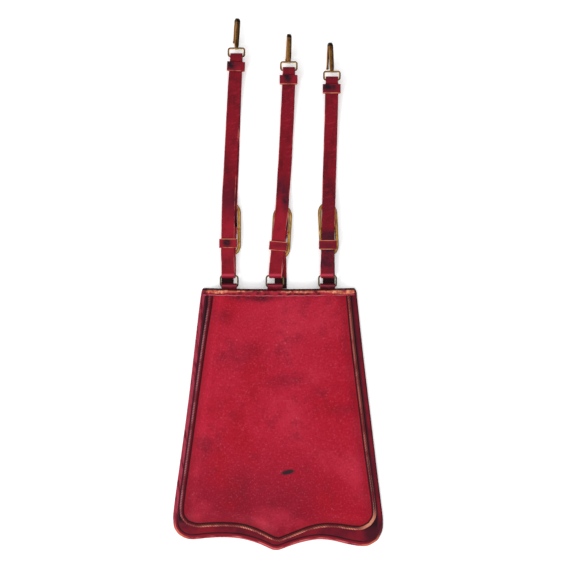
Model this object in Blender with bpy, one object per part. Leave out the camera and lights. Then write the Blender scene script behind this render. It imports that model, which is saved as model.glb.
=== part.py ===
"""A plain red leather officer's sabretache, lying on its outer face with its three slings laid out.

The bag is a stiff face board with a leather pocket sewn on the wearer's side. Three slings hang it
from brass swivel hooks. X runs across the bag, +Y from the bag to the hooks, +Z up from the surface.
"""

import bisect
import math

import bmesh
import bpy
from mathutils import Matrix, Vector

# Driving dimensions in millimetres, turned into metres when a mesh is made
MM = 0.001
MERGE_DISTANCE = 0.00001
CLEARANCE = 0.3

BOARD_THICKNESS = 3.0
BOARD_EDGE_ROUNDING = 0.8
BOARD_STEPS = 2
PANEL_STEPS = 4
PANEL_THICKNESS = 2.0
PANEL_RAW_EDGE = 1.2
POCKET_DEPTH_AT_MOUTH = 6.6
POCKET_DEPTH_AT_FOOT = 4.2
SEAM_WIDTH = 6.0
SWELL_WIDTH = 14.0
BEAD_CENTRE = 2.1
BEAD_HALF_WIDTH = 2.1
BEAD_HEIGHT = 1.1
BINDING_END = 14.8
BEAD_RISE = 4.0
GROOVE_CENTRE = 5.0
GROOVE_HALF_WIDTH = 1.3
GROOVE_DEPTH = 0.6
MOUTH_CORNER_Y = -4.5
MOUTH_SAG = 1.4
MOUTH_HALF_WIDTH = 100.0
MOUTH_MARKS = [88.0, 60.0, 30.0, 0.0, -30.0, -60.0, -88.0]
BINDING_SETBACK = 1.5
RIM_SETBACK = 2.9
BINDING_WIDTH = 7.4
BINDING_THICKNESS = 1.2
BINDING_SEAT = 0.55
BINDING_ENDS = (-98.0, 100.0)

STRAP_WIDTH = 17.3
FAR_WIDTH = 15.8
LOOP_END_WIDTH = 16.2
LOOP_END_RUN = 14.0
STRAP_THICKNESS = 1.6
STATION_SPACING = 10.0
TURN_STEPS = 6
CHAPE_WIDTH = 20.0
CHAPE_TAIL_END = -24.0
RING_HALF_WIDTH = 11.3
RING_HALF_HEIGHT = 7.25
RING_CORNER = 3.6
RING_SLACK = 0.45
CHAPE_SLACK = 1.4
RING_WIRE = 1.1
RING_CENTRE_Y = 4.35
RING_Z = 6.3

LOOP_HALF_WIDTH = 10.2
LOOP_HEIGHT = 10.4
LOOP_CORNER = 2.4
LOOP_WIRE = 1.3
LOOP_SLACK = 1.0
BOSS_WIDTH = 6.4
BOSS_DEPTH = 4.8
BOSS_LENGTH = 2.8
PIN_RADIUS = 0.9
PIN_HOLE_RADIUS = 1.25
RIVET_RADIUS = 1.5
RIVET_RECESS_RADIUS = 1.9
RIVET_SHOULDER = 0.5

KEEPER_WALL = 1.2
KEEPER_SLACK = 0.5
KEEPER_HALF_WIDTH = 11.7
KEEPER_LENGTH = 12.0
KEEPER_MARGIN = 0.6
KEEPER_CORNER = 1.2

BUCKLE_HALF_WIDTH = 12.65
BUCKLE_HALF_LENGTH = 34.2
BUCKLE_CORNER = 10.0
BUCKLE_CORNER_LENGTH = 14.0
BUCKLE_CORNER_STEPS = 3
BUCKLE_RAIL_MARKS = [-12.0, -7.0, -3.6, 0.0, 3.6, 7.0, 12.0]
BUCKLE_RAIL_WIDTH = 3.6
BUCKLE_RAIL_HEIGHT = 2.4
BUCKLE_RAIL_Z = 3.2
BUCKLE_BAR_Z = 5.3
BUCKLE_BAR_RADIUS = 1.2
BUCKLE_BAR_HUMP = 5.0
TONGUE_RADIUS = 0.8
TONGUE_SLOT_WIDTH = 3.2
TONGUE_SLOT_LENGTH = 12.0
EYE_SLOT_LENGTH = 9.4
EYE_SLOT_FLOOR = 2.05

HOOK_GAPE = 8.6
HOOK_BAR_HALF_WIDTH = 3.0
HOOK_BAR_HALF_DEPTH = 1.6
HOOK_LEG_RADIUS = 1.35
HOOK_BALL_RADIUS = 1.9
HOOK_REST_GAP = 0.35

LEATHER_RED = (0.36, 0.022, 0.05)
LEATHER_DARK = (0.14, 0.012, 0.025)
LEATHER_SLING = (0.3, 0.02, 0.045)
LEATHER_WORN = (0.42, 0.07, 0.08)
BRASS_GOLD = (0.62, 0.39, 0.13)
BRASS_BROWN = (0.36, 0.21, 0.08)
BRASS_DARK = (0.12, 0.10, 0.06)

# Edge of the face board from the mouth down the left side, round the foot and up the right side
BOARD_LEFT = [(-97.6, -4.9), (-101.1, -15.0), (-108.4, -75.2), (-116.6, -145.8), (-126.0, -216.5),
              (-133.7, -271.4), (-137.2, -300.0)]
BOARD_FOOT = [(-137.3, -308.0), (-135.9, -318.6), (-130.4, -327.0), (-122.0, -332.0), (-111.2, -333.8),
              (-92.0, -332.0), (-73.2, -331.1), (-55.0, -332.0), (-40.5, -334.6), (-23.5, -340.0),
              (-10.0, -346.2), (-3.0, -348.25), (5.0, -346.4), (18.3, -341.4), (35.3, -336.5), (54.3, -333.7),
              (71.9, -335.4), (90.3, -339.8), (107.3, -342.6), (119.0, -341.7), (130.4, -335.0),
              (136.4, -322.6), (137.5, -308.0)]
BOARD_RIGHT = [(135.0, -286.0), (129.6, -242.6), (121.8, -177.2), (114.2, -114.5), (108.4, -63.4),
               (103.9, -20.3), (102.8, -10.0), (100.0, -5.0)]

# Cut edge of the pocket panel: left side and right side from the mouth down, and the foot between them
PANEL_LEFT = [(-90.2, -7.7), (-91.2, -22.0), (-93.8, -40.0), (-99.4, -75.2), (-109.1, -145.8),
              (-118.7, -216.5), (-126.4, -271.4), (-128.6, -292.3), (-127.0, -304.6), (-119.6, -313.8)]
PANEL_FOOT = [(-119.6, -313.8), (-106.0, -317.8), (-88.9, -317.0), (-68.0, -316.6), (-49.7, -318.1),
              (-36.6, -321.4), (-23.5, -326.6), (-10.5, -333.2), (0.0, -336.6), (10.0, -333.6),
              (28.8, -326.3), (43.2, -321.1), (60.2, -318.0), (78.5, -318.4), (95.0, -320.7),
              (110.0, -320.9), (121.6, -315.0)]
PANEL_RIGHT = [(93.8, -7.7), (95.5, -22.0), (100.7, -75.2), (109.2, -145.8), (118.1, -216.5),
               (125.8, -271.4), (128.4, -292.3), (127.8, -305.0), (121.6, -315.0)]

# Distances in from the edges at which the panel's grid lines run, and their places across the middle
EDGE_LINES = [0.0, 1.0, 2.1, 3.3, 4.2, 5.0, 6.4, 11.0, 19.0]
MIDDLE_LINES = [0.16, 0.27, 0.39, 0.5, 0.61, 0.73, 0.84]
DOWN_LINES = [0.0, 0.02, 0.045, 0.1, 0.2, 0.32, 0.46, 0.6, 0.72, 0.83]
PANEL_MEAN_WIDTH = 225.0
PANEL_MEAN_HEIGHT = 312.0

# Each sling: x of its parts and y of its stations, with its hook's length and turn about its own axis
SLINGS = {
    "left": {
        "near": [(-16.0, -65.2), (21.0, -65.3), (40.0, -65.8), (70.0, -65.4), (97.0, -65.0), (123.0, -64.2),
                 (162.0, -62.0), (201.0, -60.1), (241.0, -57.9), (262.0, -56.7), (299.0, -54.3)],
        "far": [(-16.0, -62.7), (11.2, -62.8), (35.0, -62.9), (54.0, -62.9), (72.6, -61.2), (90.0, -61.2),
                (123.0, -60.5), (162.0, -59.0), (201.0, -57.7), (241.0, -56.3), (299.0, -54.3)],
        "tip": [(-4.8, -66.2), (10.0, -66.0), (30.0, -63.6), (42.0, -62.9), (58.0, -62.9), (66.0, -61.8),
                (72.6, -61.2)],
        "chape_x": -63.8, "tip_end": -4.8, "bar_y": 72.6, "loop_y": 299.0,
        "keeper_lower_y": 53.8, "keeper_lower_x": -65.1, "keeper_lower_slant": 0.0,
        "keeper_upper_y": 284.8, "keeper_upper_x": -54.9, "keeper_upper_slant": -3.0,
        "frame_lean": 0.0, "hook_length": 39.7, "hook_turn": 22.0, "hook_lean": -3.6,
        "hook_return": 31.0, "hook_splay": 0.6,
    },
    "middle": {
        "near": [(-16.0, -3.6), (12.0, -3.5), (21.0, -3.1), (37.0, -1.5), (52.0, 0.0), (63.0, 0.9), (84.0, 3.4),
                 (110.0, 5.9), (142.0, 7.7), (182.0, 10.1), (221.0, 11.9), (251.0, 13.5), (281.0, 14.2)],
        "far": [(-16.0, -3.0), (11.2, -2.6), (34.2, 1.2), (56.0, 1.9), (68.2, 4.6), (90.0, 5.8), (110.0, 6.6),
                (123.0, 7.5), (142.0, 9.0), (162.0, 10.3), (201.0, 12.1), (241.0, 13.8), (281.0, 14.2)],
        "tip": [(-8.0, 3.6), (30.0, 3.2), (44.0, 2.0), (55.0, 2.1), (63.0, 3.9), (68.2, 4.6)],
        "chape_x": -3.9, "tip_end": -5.4, "bar_y": 68.2, "loop_y": 281.0,
        "keeper_lower_y": 50.2, "keeper_lower_x": 0.2, "keeper_lower_slant": -5.0,
        "keeper_upper_y": 267.4, "keeper_upper_x": 13.8, "keeper_upper_slant": 0.0,
        "frame_lean": 0.055, "hook_length": 37.3, "hook_turn": 10.0, "hook_lean": -1.2,
        "hook_return": 33.8, "hook_splay": 1.8,
    },
    "right": {
        "near": [(-16.0, 63.7), (11.2, 63.9), (21.0, 64.0), (37.0, 64.7), (84.0, 65.8), (110.0, 66.4),
                 (123.0, 66.6), (162.0, 67.8), (201.0, 69.0), (241.0, 70.0), (268.6, 70.4)],
        "far": [(-16.0, 65.4), (11.2, 65.6), (35.0, 65.8), (72.6, 65.9), (90.0, 65.9), (110.0, 67.2),
                (123.0, 67.7), (162.0, 68.9), (201.0, 69.9), (241.0, 70.5), (268.6, 70.4)],
        "tip": [(-4.8, 66.6), (10.0, 66.6), (40.0, 66.2), (72.6, 65.9)],
        "chape_x": 64.8, "tip_end": -4.8, "bar_y": 72.6, "loop_y": 268.6,
        "keeper_lower_y": 51.8, "keeper_lower_x": 65.2, "keeper_lower_slant": 0.0,
        "keeper_upper_y": 255.6, "keeper_upper_x": 70.1, "keeper_upper_slant": 0.0,
        "frame_lean": -0.045, "hook_length": 38.5, "hook_turn": 16.0, "hook_lean": 2.1,
        "hook_return": 33.5, "hook_splay": 3.4,
    },
}


def clear_scene():
    for old in list(bpy.data.objects):
        bpy.data.objects.remove(old, do_unlink=True)


def finish_material(name, colour, roughness, metallic):
    finish = bpy.data.materials.new(name)
    finish.use_nodes = True
    shader = finish.node_tree.nodes["Principled BSDF"]
    shader.inputs["Base Color"].default_value = (*colour, 1.0)
    shader.inputs["Roughness"].default_value = roughness
    shader.inputs["Metallic"].default_value = metallic
    return finish


def smooth_path(points, steps):
    """A curve through the points, with the given number of steps between each two."""
    padded = [points[0]] + list(points) + [points[-1]]
    path = []
    for i in range(1, len(padded) - 2):
        before, start, end, after = (Vector(padded[i + k]) for k in (-1, 0, 1, 2))
        for step in range(steps):
            t = step / steps
            bend = (2 * before - 5 * start + 4 * end - after) * t * t
            turn = (3 * start - before - 3 * end + after) * t ** 3
            path.append(start + ((end - before) * t + bend + turn) / 2)
    path.append(Vector(points[-1]))
    return path


def along(table, at):
    """Smooth value at a place, from rows of (place, value) in rising order, with no overshoot."""
    places = [row[0] for row in table]
    if at <= places[0]:
        return table[0][1]
    if at >= places[-1]:
        return table[-1][1]
    i = bisect.bisect_right(places, at) - 1

    def slope(k):
        return (table[k + 1][1] - table[k][1]) / (table[k + 1][0] - table[k][0])

    def tangent(k):
        if k == 0 or k == len(table) - 1:
            return 0.0
        left, right = slope(k - 1), slope(k)
        return 0.0 if left * right <= 0 else 2 * left * right / (left + right)

    width = table[i + 1][0] - table[i][0]
    t = (at - table[i][0]) / width
    rise = t * t * (3 - 2 * t)
    start, end = tangent(i) * width, tangent(i + 1) * width
    bow = start * t * (1 - t) ** 2 - end * t * t * (1 - t)
    return table[i][1] * (1 - rise) + table[i + 1][1] * rise + bow


def on_polyline(path, share):
    """Point at a share, 0 to 1, of the length of a path."""
    lengths = [0.0]
    for a, b in zip(path, path[1:]):
        lengths.append(lengths[-1] + (b - a).length)
    wanted = share * lengths[-1]
    i = min(bisect.bisect_right(lengths, wanted), len(path) - 1)
    part = (wanted - lengths[i - 1]) / (lengths[i] - lengths[i - 1])
    return path[i - 1].lerp(path[i], part)


def smoothstep(value):
    t = min(max(value, 0.0), 1.0)
    return t * t * (3 - 2 * t)


def bump(distance, half_width):
    """A rounded ridge, 1 at its crest and 0 beyond its half width."""
    if abs(distance) >= half_width:
        return 0.0
    return math.cos(distance / half_width * math.pi / 2) ** 2


def new_object(name, mesh_data, finish, smooth=True):
    mesh = bpy.data.meshes.new(name)
    mesh_data.to_mesh(mesh)
    mesh_data.free()
    if smooth:
        mesh.shade_smooth()
        mesh.set_sharp_from_angle(angle=math.radians(40))
    mesh.materials.append(finish)
    made = bpy.data.objects.new(name, mesh)
    bpy.context.scene.collection.objects.link(made)
    return made


def bent_grid(columns, rows, place):
    """A grid of faces whose vertex at column i and row j goes to place(i, j), given in millimetres."""
    made = bmesh.new()
    bmesh.ops.create_grid(made, x_segments=columns, y_segments=rows, size=1.0)
    for corner in made.verts:
        column = round((corner.co.x + 1) / 2 * columns)
        row = round((corner.co.y + 1) / 2 * rows)
        corner.co = Vector(place(column, row)) * MM
    return made


def strip(name, path, thickness, finish):
    """A flat leather strip of even thickness, whose middle line is a list of (x, y, z, width)."""
    def place(column, row):
        x, y, z, width = path[row]
        return (x + (column - 0.5) * width, y, z)

    made = new_object(name, bent_grid(1, len(path) - 1, place), finish)
    wall = made.modifiers.new("Thickness", "SOLIDIFY")
    wall.thickness = thickness * MM
    wall.offset = 0.0
    wall.use_even_offset = True
    return made


def closed_tube(path, section):
    """A ring of tube along a closed path; section(i) gives the offsets from path point i."""
    sides = len(section(0))
    made = bent_grid(sides, len(path), lambda i, j: path[j % len(path)] + section(j % len(path))[i % sides])
    bmesh.ops.remove_doubles(made, verts=made.verts, dist=MERGE_DISTANCE)
    bmesh.ops.recalc_face_normals(made, faces=made.faces)
    return made


def open_tube(path, section):
    """A tube along an open path with closed ends; section(i) gives the offsets from path point i."""
    sides = len(section(0))
    made = bent_grid(sides, len(path) - 1, lambda i, j: path[j] + section(j)[i % sides])
    bmesh.ops.remove_doubles(made, verts=made.verts, dist=MERGE_DISTANCE)
    bmesh.ops.holes_fill(made, edges=[e for e in made.edges if e.is_boundary], sides=0)
    bmesh.ops.recalc_face_normals(made, faces=made.faces)
    return made


def round_section(across, up, radius, sides):
    """Offsets of a round wire's surface, across the path and upwards."""
    turns = [(k + 0.5) / sides * 2 * math.pi for k in range(sides)]
    return [across * (radius * math.cos(turn)) + up * (radius * math.sin(turn)) for turn in turns]


def cross_direction(path, i):
    """Sideways direction at a point of a closed path that lies level."""
    run = (path[(i + 1) % len(path)] - path[i - 1]).normalized()
    return run.cross(Vector((0, 0, 1))).normalized()


def rounded_rectangle(half_width, half_height, corner, steps, tall=None):
    """Points of a level rounded rectangle about the origin; tall is its corners' reach along Y if not round."""
    reach = corner if tall is None else tall
    points = []
    for quarter, (sx, sy) in enumerate([(1, 1), (-1, 1), (-1, -1), (1, -1)]):
        for step in range(steps + 1):
            angle = math.radians(90 * (quarter + step / steps))
            x = sx * (half_width - corner) + corner * math.cos(angle)
            y = sy * (half_height - reach) + reach * math.sin(angle)
            points.append(Vector((x, y, 0.0)))
    return points


def fold(y, z, radius, start, end, steps):
    """Points of a strap's turn round a bar, from a start to an end angle in degrees."""
    turn = []
    for step in range(steps + 1):
        angle = math.radians(start + (end - start) * step / steps)
        turn.append((y + radius * math.cos(angle), z + radius * math.sin(angle)))
    return turn


def cut(target, shape, name):
    """Cut a shape out of a piece; the cutter is kept as a hidden guide."""
    cutter = new_object(name, shape, finish_material(name, BRASS_DARK, 0.5, 0.0), smooth=False)
    cutter.hide_render = True
    cutter.display_type = "WIRE"
    step = target.modifiers.new(name, "BOOLEAN")
    step.operation = "DIFFERENCE"
    step.object = cutter


def join(target, shape, name):
    """Fuse a shape onto a piece; the added shape is kept as a hidden guide."""
    added = new_object(name, shape, target.data.materials[0], smooth=False)
    added.hide_render = True
    added.display_type = "WIRE"
    step = target.modifiers.new(name, "BOOLEAN")
    step.operation = "UNION"
    step.object = added


def block(centre, size):
    made = bmesh.new()
    bmesh.ops.create_cube(made, size=1.0)
    bmesh.ops.scale(made, vec=Vector(size) * MM, verts=made.verts)
    bmesh.ops.translate(made, vec=Vector(centre) * MM, verts=made.verts)
    return made


def mouth_y(x):
    """Top edge of the bag, which sags a little in the middle."""
    return MOUTH_CORNER_Y - MOUTH_SAG * max(0.0, 1 - (x / MOUTH_HALF_WIDTH) ** 2)


# The bag

def board_outline():
    sides = BOARD_LEFT + BOARD_FOOT + BOARD_RIGHT
    outline = smooth_path(sides, BOARD_STEPS)
    for x in MOUTH_MARKS:
        outline.append(Vector((x, mouth_y(x))))
    return outline


def make_board(finish):
    made = bmesh.new()
    corners = [made.verts.new(Vector((p.x, p.y, 0.0)) * MM) for p in board_outline()]
    bottom = made.faces.new(corners)
    top = bmesh.ops.extrude_face_region(made, geom=[bottom])["geom"]
    raised = [item for item in top if isinstance(item, bmesh.types.BMVert)]
    bmesh.ops.translate(made, vec=Vector((0, 0, BOARD_THICKNESS * MM)), verts=raised)
    rims = [e for e in made.edges if abs(e.verts[0].co.z - e.verts[1].co.z) < MM * 0.1]
    bmesh.ops.bevel(made, geom=rims, offset=BOARD_EDGE_ROUNDING * MM, offset_type="OFFSET", segments=1,
                    profile=0.5, affect="EDGES", material=-1)
    bmesh.ops.recalc_face_normals(made, faces=made.faces)
    new_object("face_board", made, finish)


class PocketShape:
    """Where the pocket panel's surface lies above the face board."""

    def __init__(self):
        self.left = smooth_path(PANEL_LEFT, PANEL_STEPS)
        self.right = smooth_path(PANEL_RIGHT, PANEL_STEPS)
        self.foot = smooth_path(PANEL_FOOT, PANEL_STEPS)
        self.edge = self.left + self.foot[1:-1] + list(reversed(self.right))
        step = [d / PANEL_MEAN_WIDTH for d in EDGE_LINES]
        self.columns = step + MIDDLE_LINES + [1 - s for s in reversed(step)]
        foot_step = [1 - d / PANEL_MEAN_HEIGHT for d in reversed(EDGE_LINES)]
        self.rows = DOWN_LINES + foot_step

    def spot(self, u, v):
        """Place in the panel at a share across and a share down, with the edges followed all round."""
        left, right = on_polyline(self.left, v), on_polyline(self.right, v)
        foot = on_polyline(self.foot, u)
        x = self.left[0].x + (self.right[0].x - self.left[0].x) * u
        head = Vector((x, mouth_y(x) - RIM_SETBACK))
        ends = (1 - u) * (1 - v) * self.left[0] + u * (1 - v) * self.right[0]
        ends = ends + (1 - u) * v * self.left[-1] + u * v * self.right[-1]
        return (1 - v) * head + v * foot + (1 - u) * left + u * right - ends

    def inset(self, at):
        """Distance in from the sewn edge."""
        best = 1e9
        for a, b in zip(self.edge, self.edge[1:]):
            run = b - a
            part = min(max((at - a).dot(run) / run.length_squared, 0.0), 1.0)
            best = min(best, (a + run * part - at).length)
        return best

    def under(self, at):
        down = min(max(-at.y / PANEL_MEAN_HEIGHT, 0.0), 1.0)
        depth = POCKET_DEPTH_AT_MOUTH + (POCKET_DEPTH_AT_FOOT - POCKET_DEPTH_AT_MOUTH) * down
        swell = smoothstep((self.inset(at) - SEAM_WIDTH) / SWELL_WIDTH)
        return BOARD_THICKNESS + CLEARANCE + depth * swell

    def top(self, at):
        inset = self.inset(at)
        shown = smoothstep((-at.y - BINDING_END) / BEAD_RISE)
        relief = BEAD_HEIGHT * bump(inset - BEAD_CENTRE, BEAD_HALF_WIDTH)
        relief -= GROOVE_DEPTH * bump(inset - GROOVE_CENTRE, GROOVE_HALF_WIDTH)
        wall = PANEL_RAW_EDGE + (PANEL_THICKNESS - PANEL_RAW_EDGE) * smoothstep(inset / 3.0)
        return self.under(at) + wall + relief * shown


def make_panel(shape, finish):
    columns, rows = shape.columns, shape.rows

    def place(column, row):
        at = shape.spot(columns[column], rows[row])
        return (at.x, at.y, shape.under(at))

    made = bent_grid(len(columns) - 1, len(rows) - 1, place)
    raised = bmesh.ops.extrude_face_region(made, geom=list(made.faces))["geom"]
    for item in raised:
        if isinstance(item, bmesh.types.BMVert):
            at = Vector((item.co.x, item.co.y)) / MM
            item.co.z = shape.top(at) * MM
    bmesh.ops.recalc_face_normals(made, faces=made.faces)
    new_object("pocket_panel", made, finish)


def make_binding(shape, finish):
    """Strip across the mouth: a lip over the rim, then a leaf down the panel, sewn to the board at its ends."""
    first, last = BINDING_ENDS
    inner = [x for x in (shape.spot(u, 0.0).x for u in shape.columns) if first + 4 < x < last - 4]
    stations = [first, first + 3.0] + inner + [last - 3.0, last]
    half = BINDING_THICKNESS / 2
    backs = [0.0, 0.0, 1.0, 5.2, BINDING_WIDTH]

    def place(column, row):
        x = stations[column]
        front = mouth_y(x) - BINDING_SETBACK - half
        y = front - backs[row]
        at = Vector((x, min(y, front - RIM_SETBACK + BINDING_SETBACK)))
        on_panel = shape.left[0].x - 0.6 < x < shape.right[0].x + 0.6
        surface = shape.top(at) if on_panel else BOARD_THICKNESS
        z = surface + BINDING_SEAT + half
        if row == 0:
            z = (shape.under(at) if on_panel else BOARD_THICKNESS) + CLEARANCE + 0.2
        elif row == 1:
            z -= 0.3
        return (x, y, z)

    made = new_object("mouth_binding", bent_grid(len(stations) - 1, len(backs) - 1, place), finish)
    wall = made.modifiers.new("Thickness", "SOLIDIFY")
    wall.thickness = BINDING_THICKNESS * MM
    wall.offset = 0.0
    wall.use_even_offset = True


# The slings

def bar_turn(wire):
    """Radius of a strap's middle line round a bar."""
    return wire + CLEARANCE + STRAP_THICKNESS / 2


def hook_axis_height(sling):
    turn = math.radians(sling["hook_turn"])
    return HOOK_GAPE * math.cos(turn) + HOOK_BALL_RADIUS + HOOK_REST_GAP


def ring_fold_y():
    """Centre of a sling's turn round its ring, a little below the ring's bar because the ring is rounded."""
    return RING_CENTRE_Y + RING_HALF_HEIGHT - RING_SLACK


def loop_bar_y(sling):
    """The hook loop's lower bar, which hangs a little loose in the sling's turn."""
    return sling["loop_y"] - LOOP_SLACK


def near_height(sling):
    """Height of the near run's middle line, from the ring up to the loop."""
    bar, loop, high = sling["bar_y"], sling["loop_y"], hook_axis_height(sling)
    return [
        (ring_fold_y(), RING_Z + bar_turn(RING_WIRE)), (bar - 50, 8.9), (bar - 34, 10.1), (bar - 24, 11.0),
        (bar - 10, 11.1), (bar, 10.7), (bar + 15, 9.6), (bar + 34, 7.8), (bar + 56, 3.6), (bar + 64, 3.1),
        (loop - 90, 3.1), (loop - 60, 4.6), (loop - 32, 7.6), (loop - 18, 9.4),
        (loop - 9, high + bar_turn(LOOP_WIRE) - 1.2), (loop, high + bar_turn(LOOP_WIRE)),
    ]


def far_height(sling):
    """Height of the far run from the loop's fold down to the free tip."""
    bar, loop, high = sling["bar_y"], sling["loop_y"], hook_axis_height(sling)
    return [
        (sling["tip_end"], 1.1), (bar - 50, 1.1), (bar - 33, 5.7), (bar - 25, 7.2), (bar - 12.2, 7.2),
        (bar - 7.3, 3.3), (bar - 3, 1.1), (bar + 5, 1.1), (bar + 12, 3.6), (bar + 20, 5.2), (bar + 33, 5.6),
        (bar + 52, 1.1), (loop - 88, 1.1), (loop - 60, 2.6), (loop - 32, 5.6), (loop - 18, 7.3),
        (loop - 9, high - bar_turn(LOOP_WIRE) + 0.2), (loop, high - bar_turn(LOOP_WIRE)),
    ]


def chape_run_height(sling):
    """Height of the run between the ring and the buckle's centre bar."""
    bar = sling["bar_y"]
    return [
        (ring_fold_y(), RING_Z - bar_turn(RING_WIRE)), (bar - 50, 4.0), (bar - 33, 8.0), (bar - 25, 9.1),
        (bar - 13, 9.1), (bar - 5, 8.0), (bar, BUCKLE_BAR_Z + bar_turn(BUCKLE_BAR_RADIUS)),
    ]


def stations_between(start, end, table, spacing):
    """Places along a run: the table's own rows and even steps between them, from start to end."""
    low, high = min(start, end), max(start, end)
    marks = sorted({low, high} | {row[0] for row in table if low < row[0] < high})
    places = []
    for a, b in zip(marks, marks[1:]):
        parts = max(1, round((b - a) / spacing))
        places += [a + (b - a) * k / parts for k in range(parts)]
    places.append(high)
    return places if start < end else places[::-1]


def near_width(sling, y):
    """Width of the near run, a little less where it goes through the hook's loop."""
    return along([(sling["loop_y"] - LOOP_END_RUN, STRAP_WIDTH), (sling["loop_y"], LOOP_END_WIDTH)], y)


def sling_path(sling):
    """Middle line of a whole sling as (x, y, z, width), from its sewn end at the buckle to its free tip."""
    bar, loop = sling["bar_y"], sling["loop_y"]
    high = hook_axis_height(sling)
    near_x, far_x = sling["near"], sling["far"]
    near, far, chape = near_height(sling), far_height(sling), chape_run_height(sling)
    bar_x = along(far_x, bar)
    path = [(bar_x, bar - 6.4, 4.7, FAR_WIDTH), (bar_x, bar - 3.4, 3.3, FAR_WIDTH)]
    path += [(bar_x, y, z, FAR_WIDTH) for y, z in
             fold(bar, BUCKLE_BAR_Z, bar_turn(BUCKLE_BAR_RADIUS), -90, 90, TURN_STEPS)]
    down = stations_between(bar, ring_fold_y(), chape, STATION_SPACING)[1:-1]
    path += [(along(far_x, y), y, along(chape, y), FAR_WIDTH) for y in down]
    turn = fold(ring_fold_y(), RING_Z, bar_turn(RING_WIRE), -90, -270, TURN_STEPS)
    for k, (y, z) in enumerate(turn):
        part = k / TURN_STEPS
        x = along(far_x, y) * (1 - part) + along(near_x, y) * part
        path.append((x, y, z, FAR_WIDTH + (STRAP_WIDTH - FAR_WIDTH) * part))
    up = stations_between(ring_fold_y(), loop, near, STATION_SPACING)[1:-1]
    path += [(along(near_x, y), y, along(near, y), near_width(sling, y)) for y in up]
    turn = fold(loop, high, bar_turn(LOOP_WIRE), 90, -90, TURN_STEPS)
    for k, (y, z) in enumerate(turn):
        path.append((along(near_x, loop), y, z, LOOP_END_WIDTH + (FAR_WIDTH - LOOP_END_WIDTH) * k / TURN_STEPS))
    for y in stations_between(loop, sling["tip_end"], far, STATION_SPACING)[1:]:
        x = along(far_x, y) if y >= bar else along(sling["tip"], y)
        path.append((x, y, along(far, y), FAR_WIDTH))
    return path


def make_sling(side, sling, finish):
    made = strip(f"sling_{side}", sling_path(sling), STRAP_THICKNESS, finish)
    bar_x, bar = along(sling["far"], sling["bar_y"]), sling["bar_y"]
    top = BUCKLE_BAR_Z + bar_turn(BUCKLE_BAR_RADIUS) + STRAP_THICKNESS
    eye_slot = block((bar_x, bar - 0.6, (top + EYE_SLOT_FLOOR) / 2),
                     (TONGUE_SLOT_WIDTH, EYE_SLOT_LENGTH, top - EYE_SLOT_FLOOR))
    cut(made, eye_slot, f"eye_slot_{side}")
    tongue_slot = block((bar_x, bar + 11.4, 3.0), (TONGUE_SLOT_WIDTH, TONGUE_SLOT_LENGTH, 5.6))
    cut(made, tongue_slot, f"tongue_slot_{side}")


def make_chape(side, sling, finish):
    bar_y = RING_CENTRE_Y - RING_HALF_HEIGHT + CHAPE_SLACK
    turn = bar_turn(RING_WIRE)
    low, high = RING_Z - turn, RING_Z + turn
    legs = [(CHAPE_TAIL_END, low), (-14.0, low)] + fold(bar_y, RING_Z, turn, -90, 90, 6)
    legs += [(-4.0, high - 0.2), (-6.0, high - 0.6), (-8.5, high - 1.3), (-11.5, high - 2.0),
             (-14.5, high - 2.5), (CHAPE_TAIL_END, low + STRAP_THICKNESS + CLEARANCE)]
    path = [(sling["chape_x"], y, z, CHAPE_WIDTH) for y, z in legs]
    strip(f"chape_{side}", path, STRAP_THICKNESS, finish)


def make_ring(side, sling, finish):
    centre = Vector((sling["chape_x"], RING_CENTRE_Y, RING_Z))
    path = [centre + p for p in rounded_rectangle(RING_HALF_WIDTH, RING_HALF_HEIGHT, RING_CORNER, 3)]
    up = Vector((0, 0, 1))

    def section(i):
        return round_section(cross_direction(path, i), up, RING_WIRE, 8)

    new_object(f"ring_{side}", closed_tube(path, section), finish)


def make_keeper(name, x, y, slant, low, high, finish):
    """A loop of flat leather round the layers, turned by a slant, between an inner low and high level."""
    half_height = (high - low + KEEPER_WALL) / 2
    middle = (high + low) / 2
    outline = rounded_rectangle(KEEPER_HALF_WIDTH - KEEPER_WALL / 2, half_height, KEEPER_CORNER, 2)
    count = len(outline)

    def place(column, row):
        at = outline[row % count]
        spot = Matrix.Rotation(slant, 2) @ Vector((at.x, (column - 0.5) * KEEPER_LENGTH))
        return (x + spot.x, y + spot.y, middle + at.y)

    loop = bent_grid(1, count, place)
    bmesh.ops.remove_doubles(loop, verts=loop.verts, dist=MERGE_DISTANCE)
    bmesh.ops.recalc_face_normals(loop, faces=loop.faces)
    made = new_object(name, loop, finish)
    wall = made.modifiers.new("Thickness", "SOLIDIFY")
    wall.thickness = KEEPER_WALL * MM
    wall.offset = 0.0
    wall.use_even_offset = True


def make_keepers(side, sling, finish):
    """One keeper below the hook's loop and one low down by the buckle, round all the layers there."""
    half = STRAP_THICKNESS / 2
    reach = KEEPER_LENGTH / 2 + KEEPER_MARGIN
    far, near = far_height(sling), near_height(sling)
    for level in ("upper", "lower"):
        x, y = sling[f"keeper_{level}_x"], sling[f"keeper_{level}_y"]
        ends = (y - reach, y, y + reach)
        low = min(along(far, place) for place in ends) - half - KEEPER_SLACK
        high = max(along(near, place) for place in ends) + half + KEEPER_SLACK
        slant = math.radians(sling[f"keeper_{level}_slant"])
        make_keeper(f"keeper_{level}_{side}", x, y, slant, low, high, finish)


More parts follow.
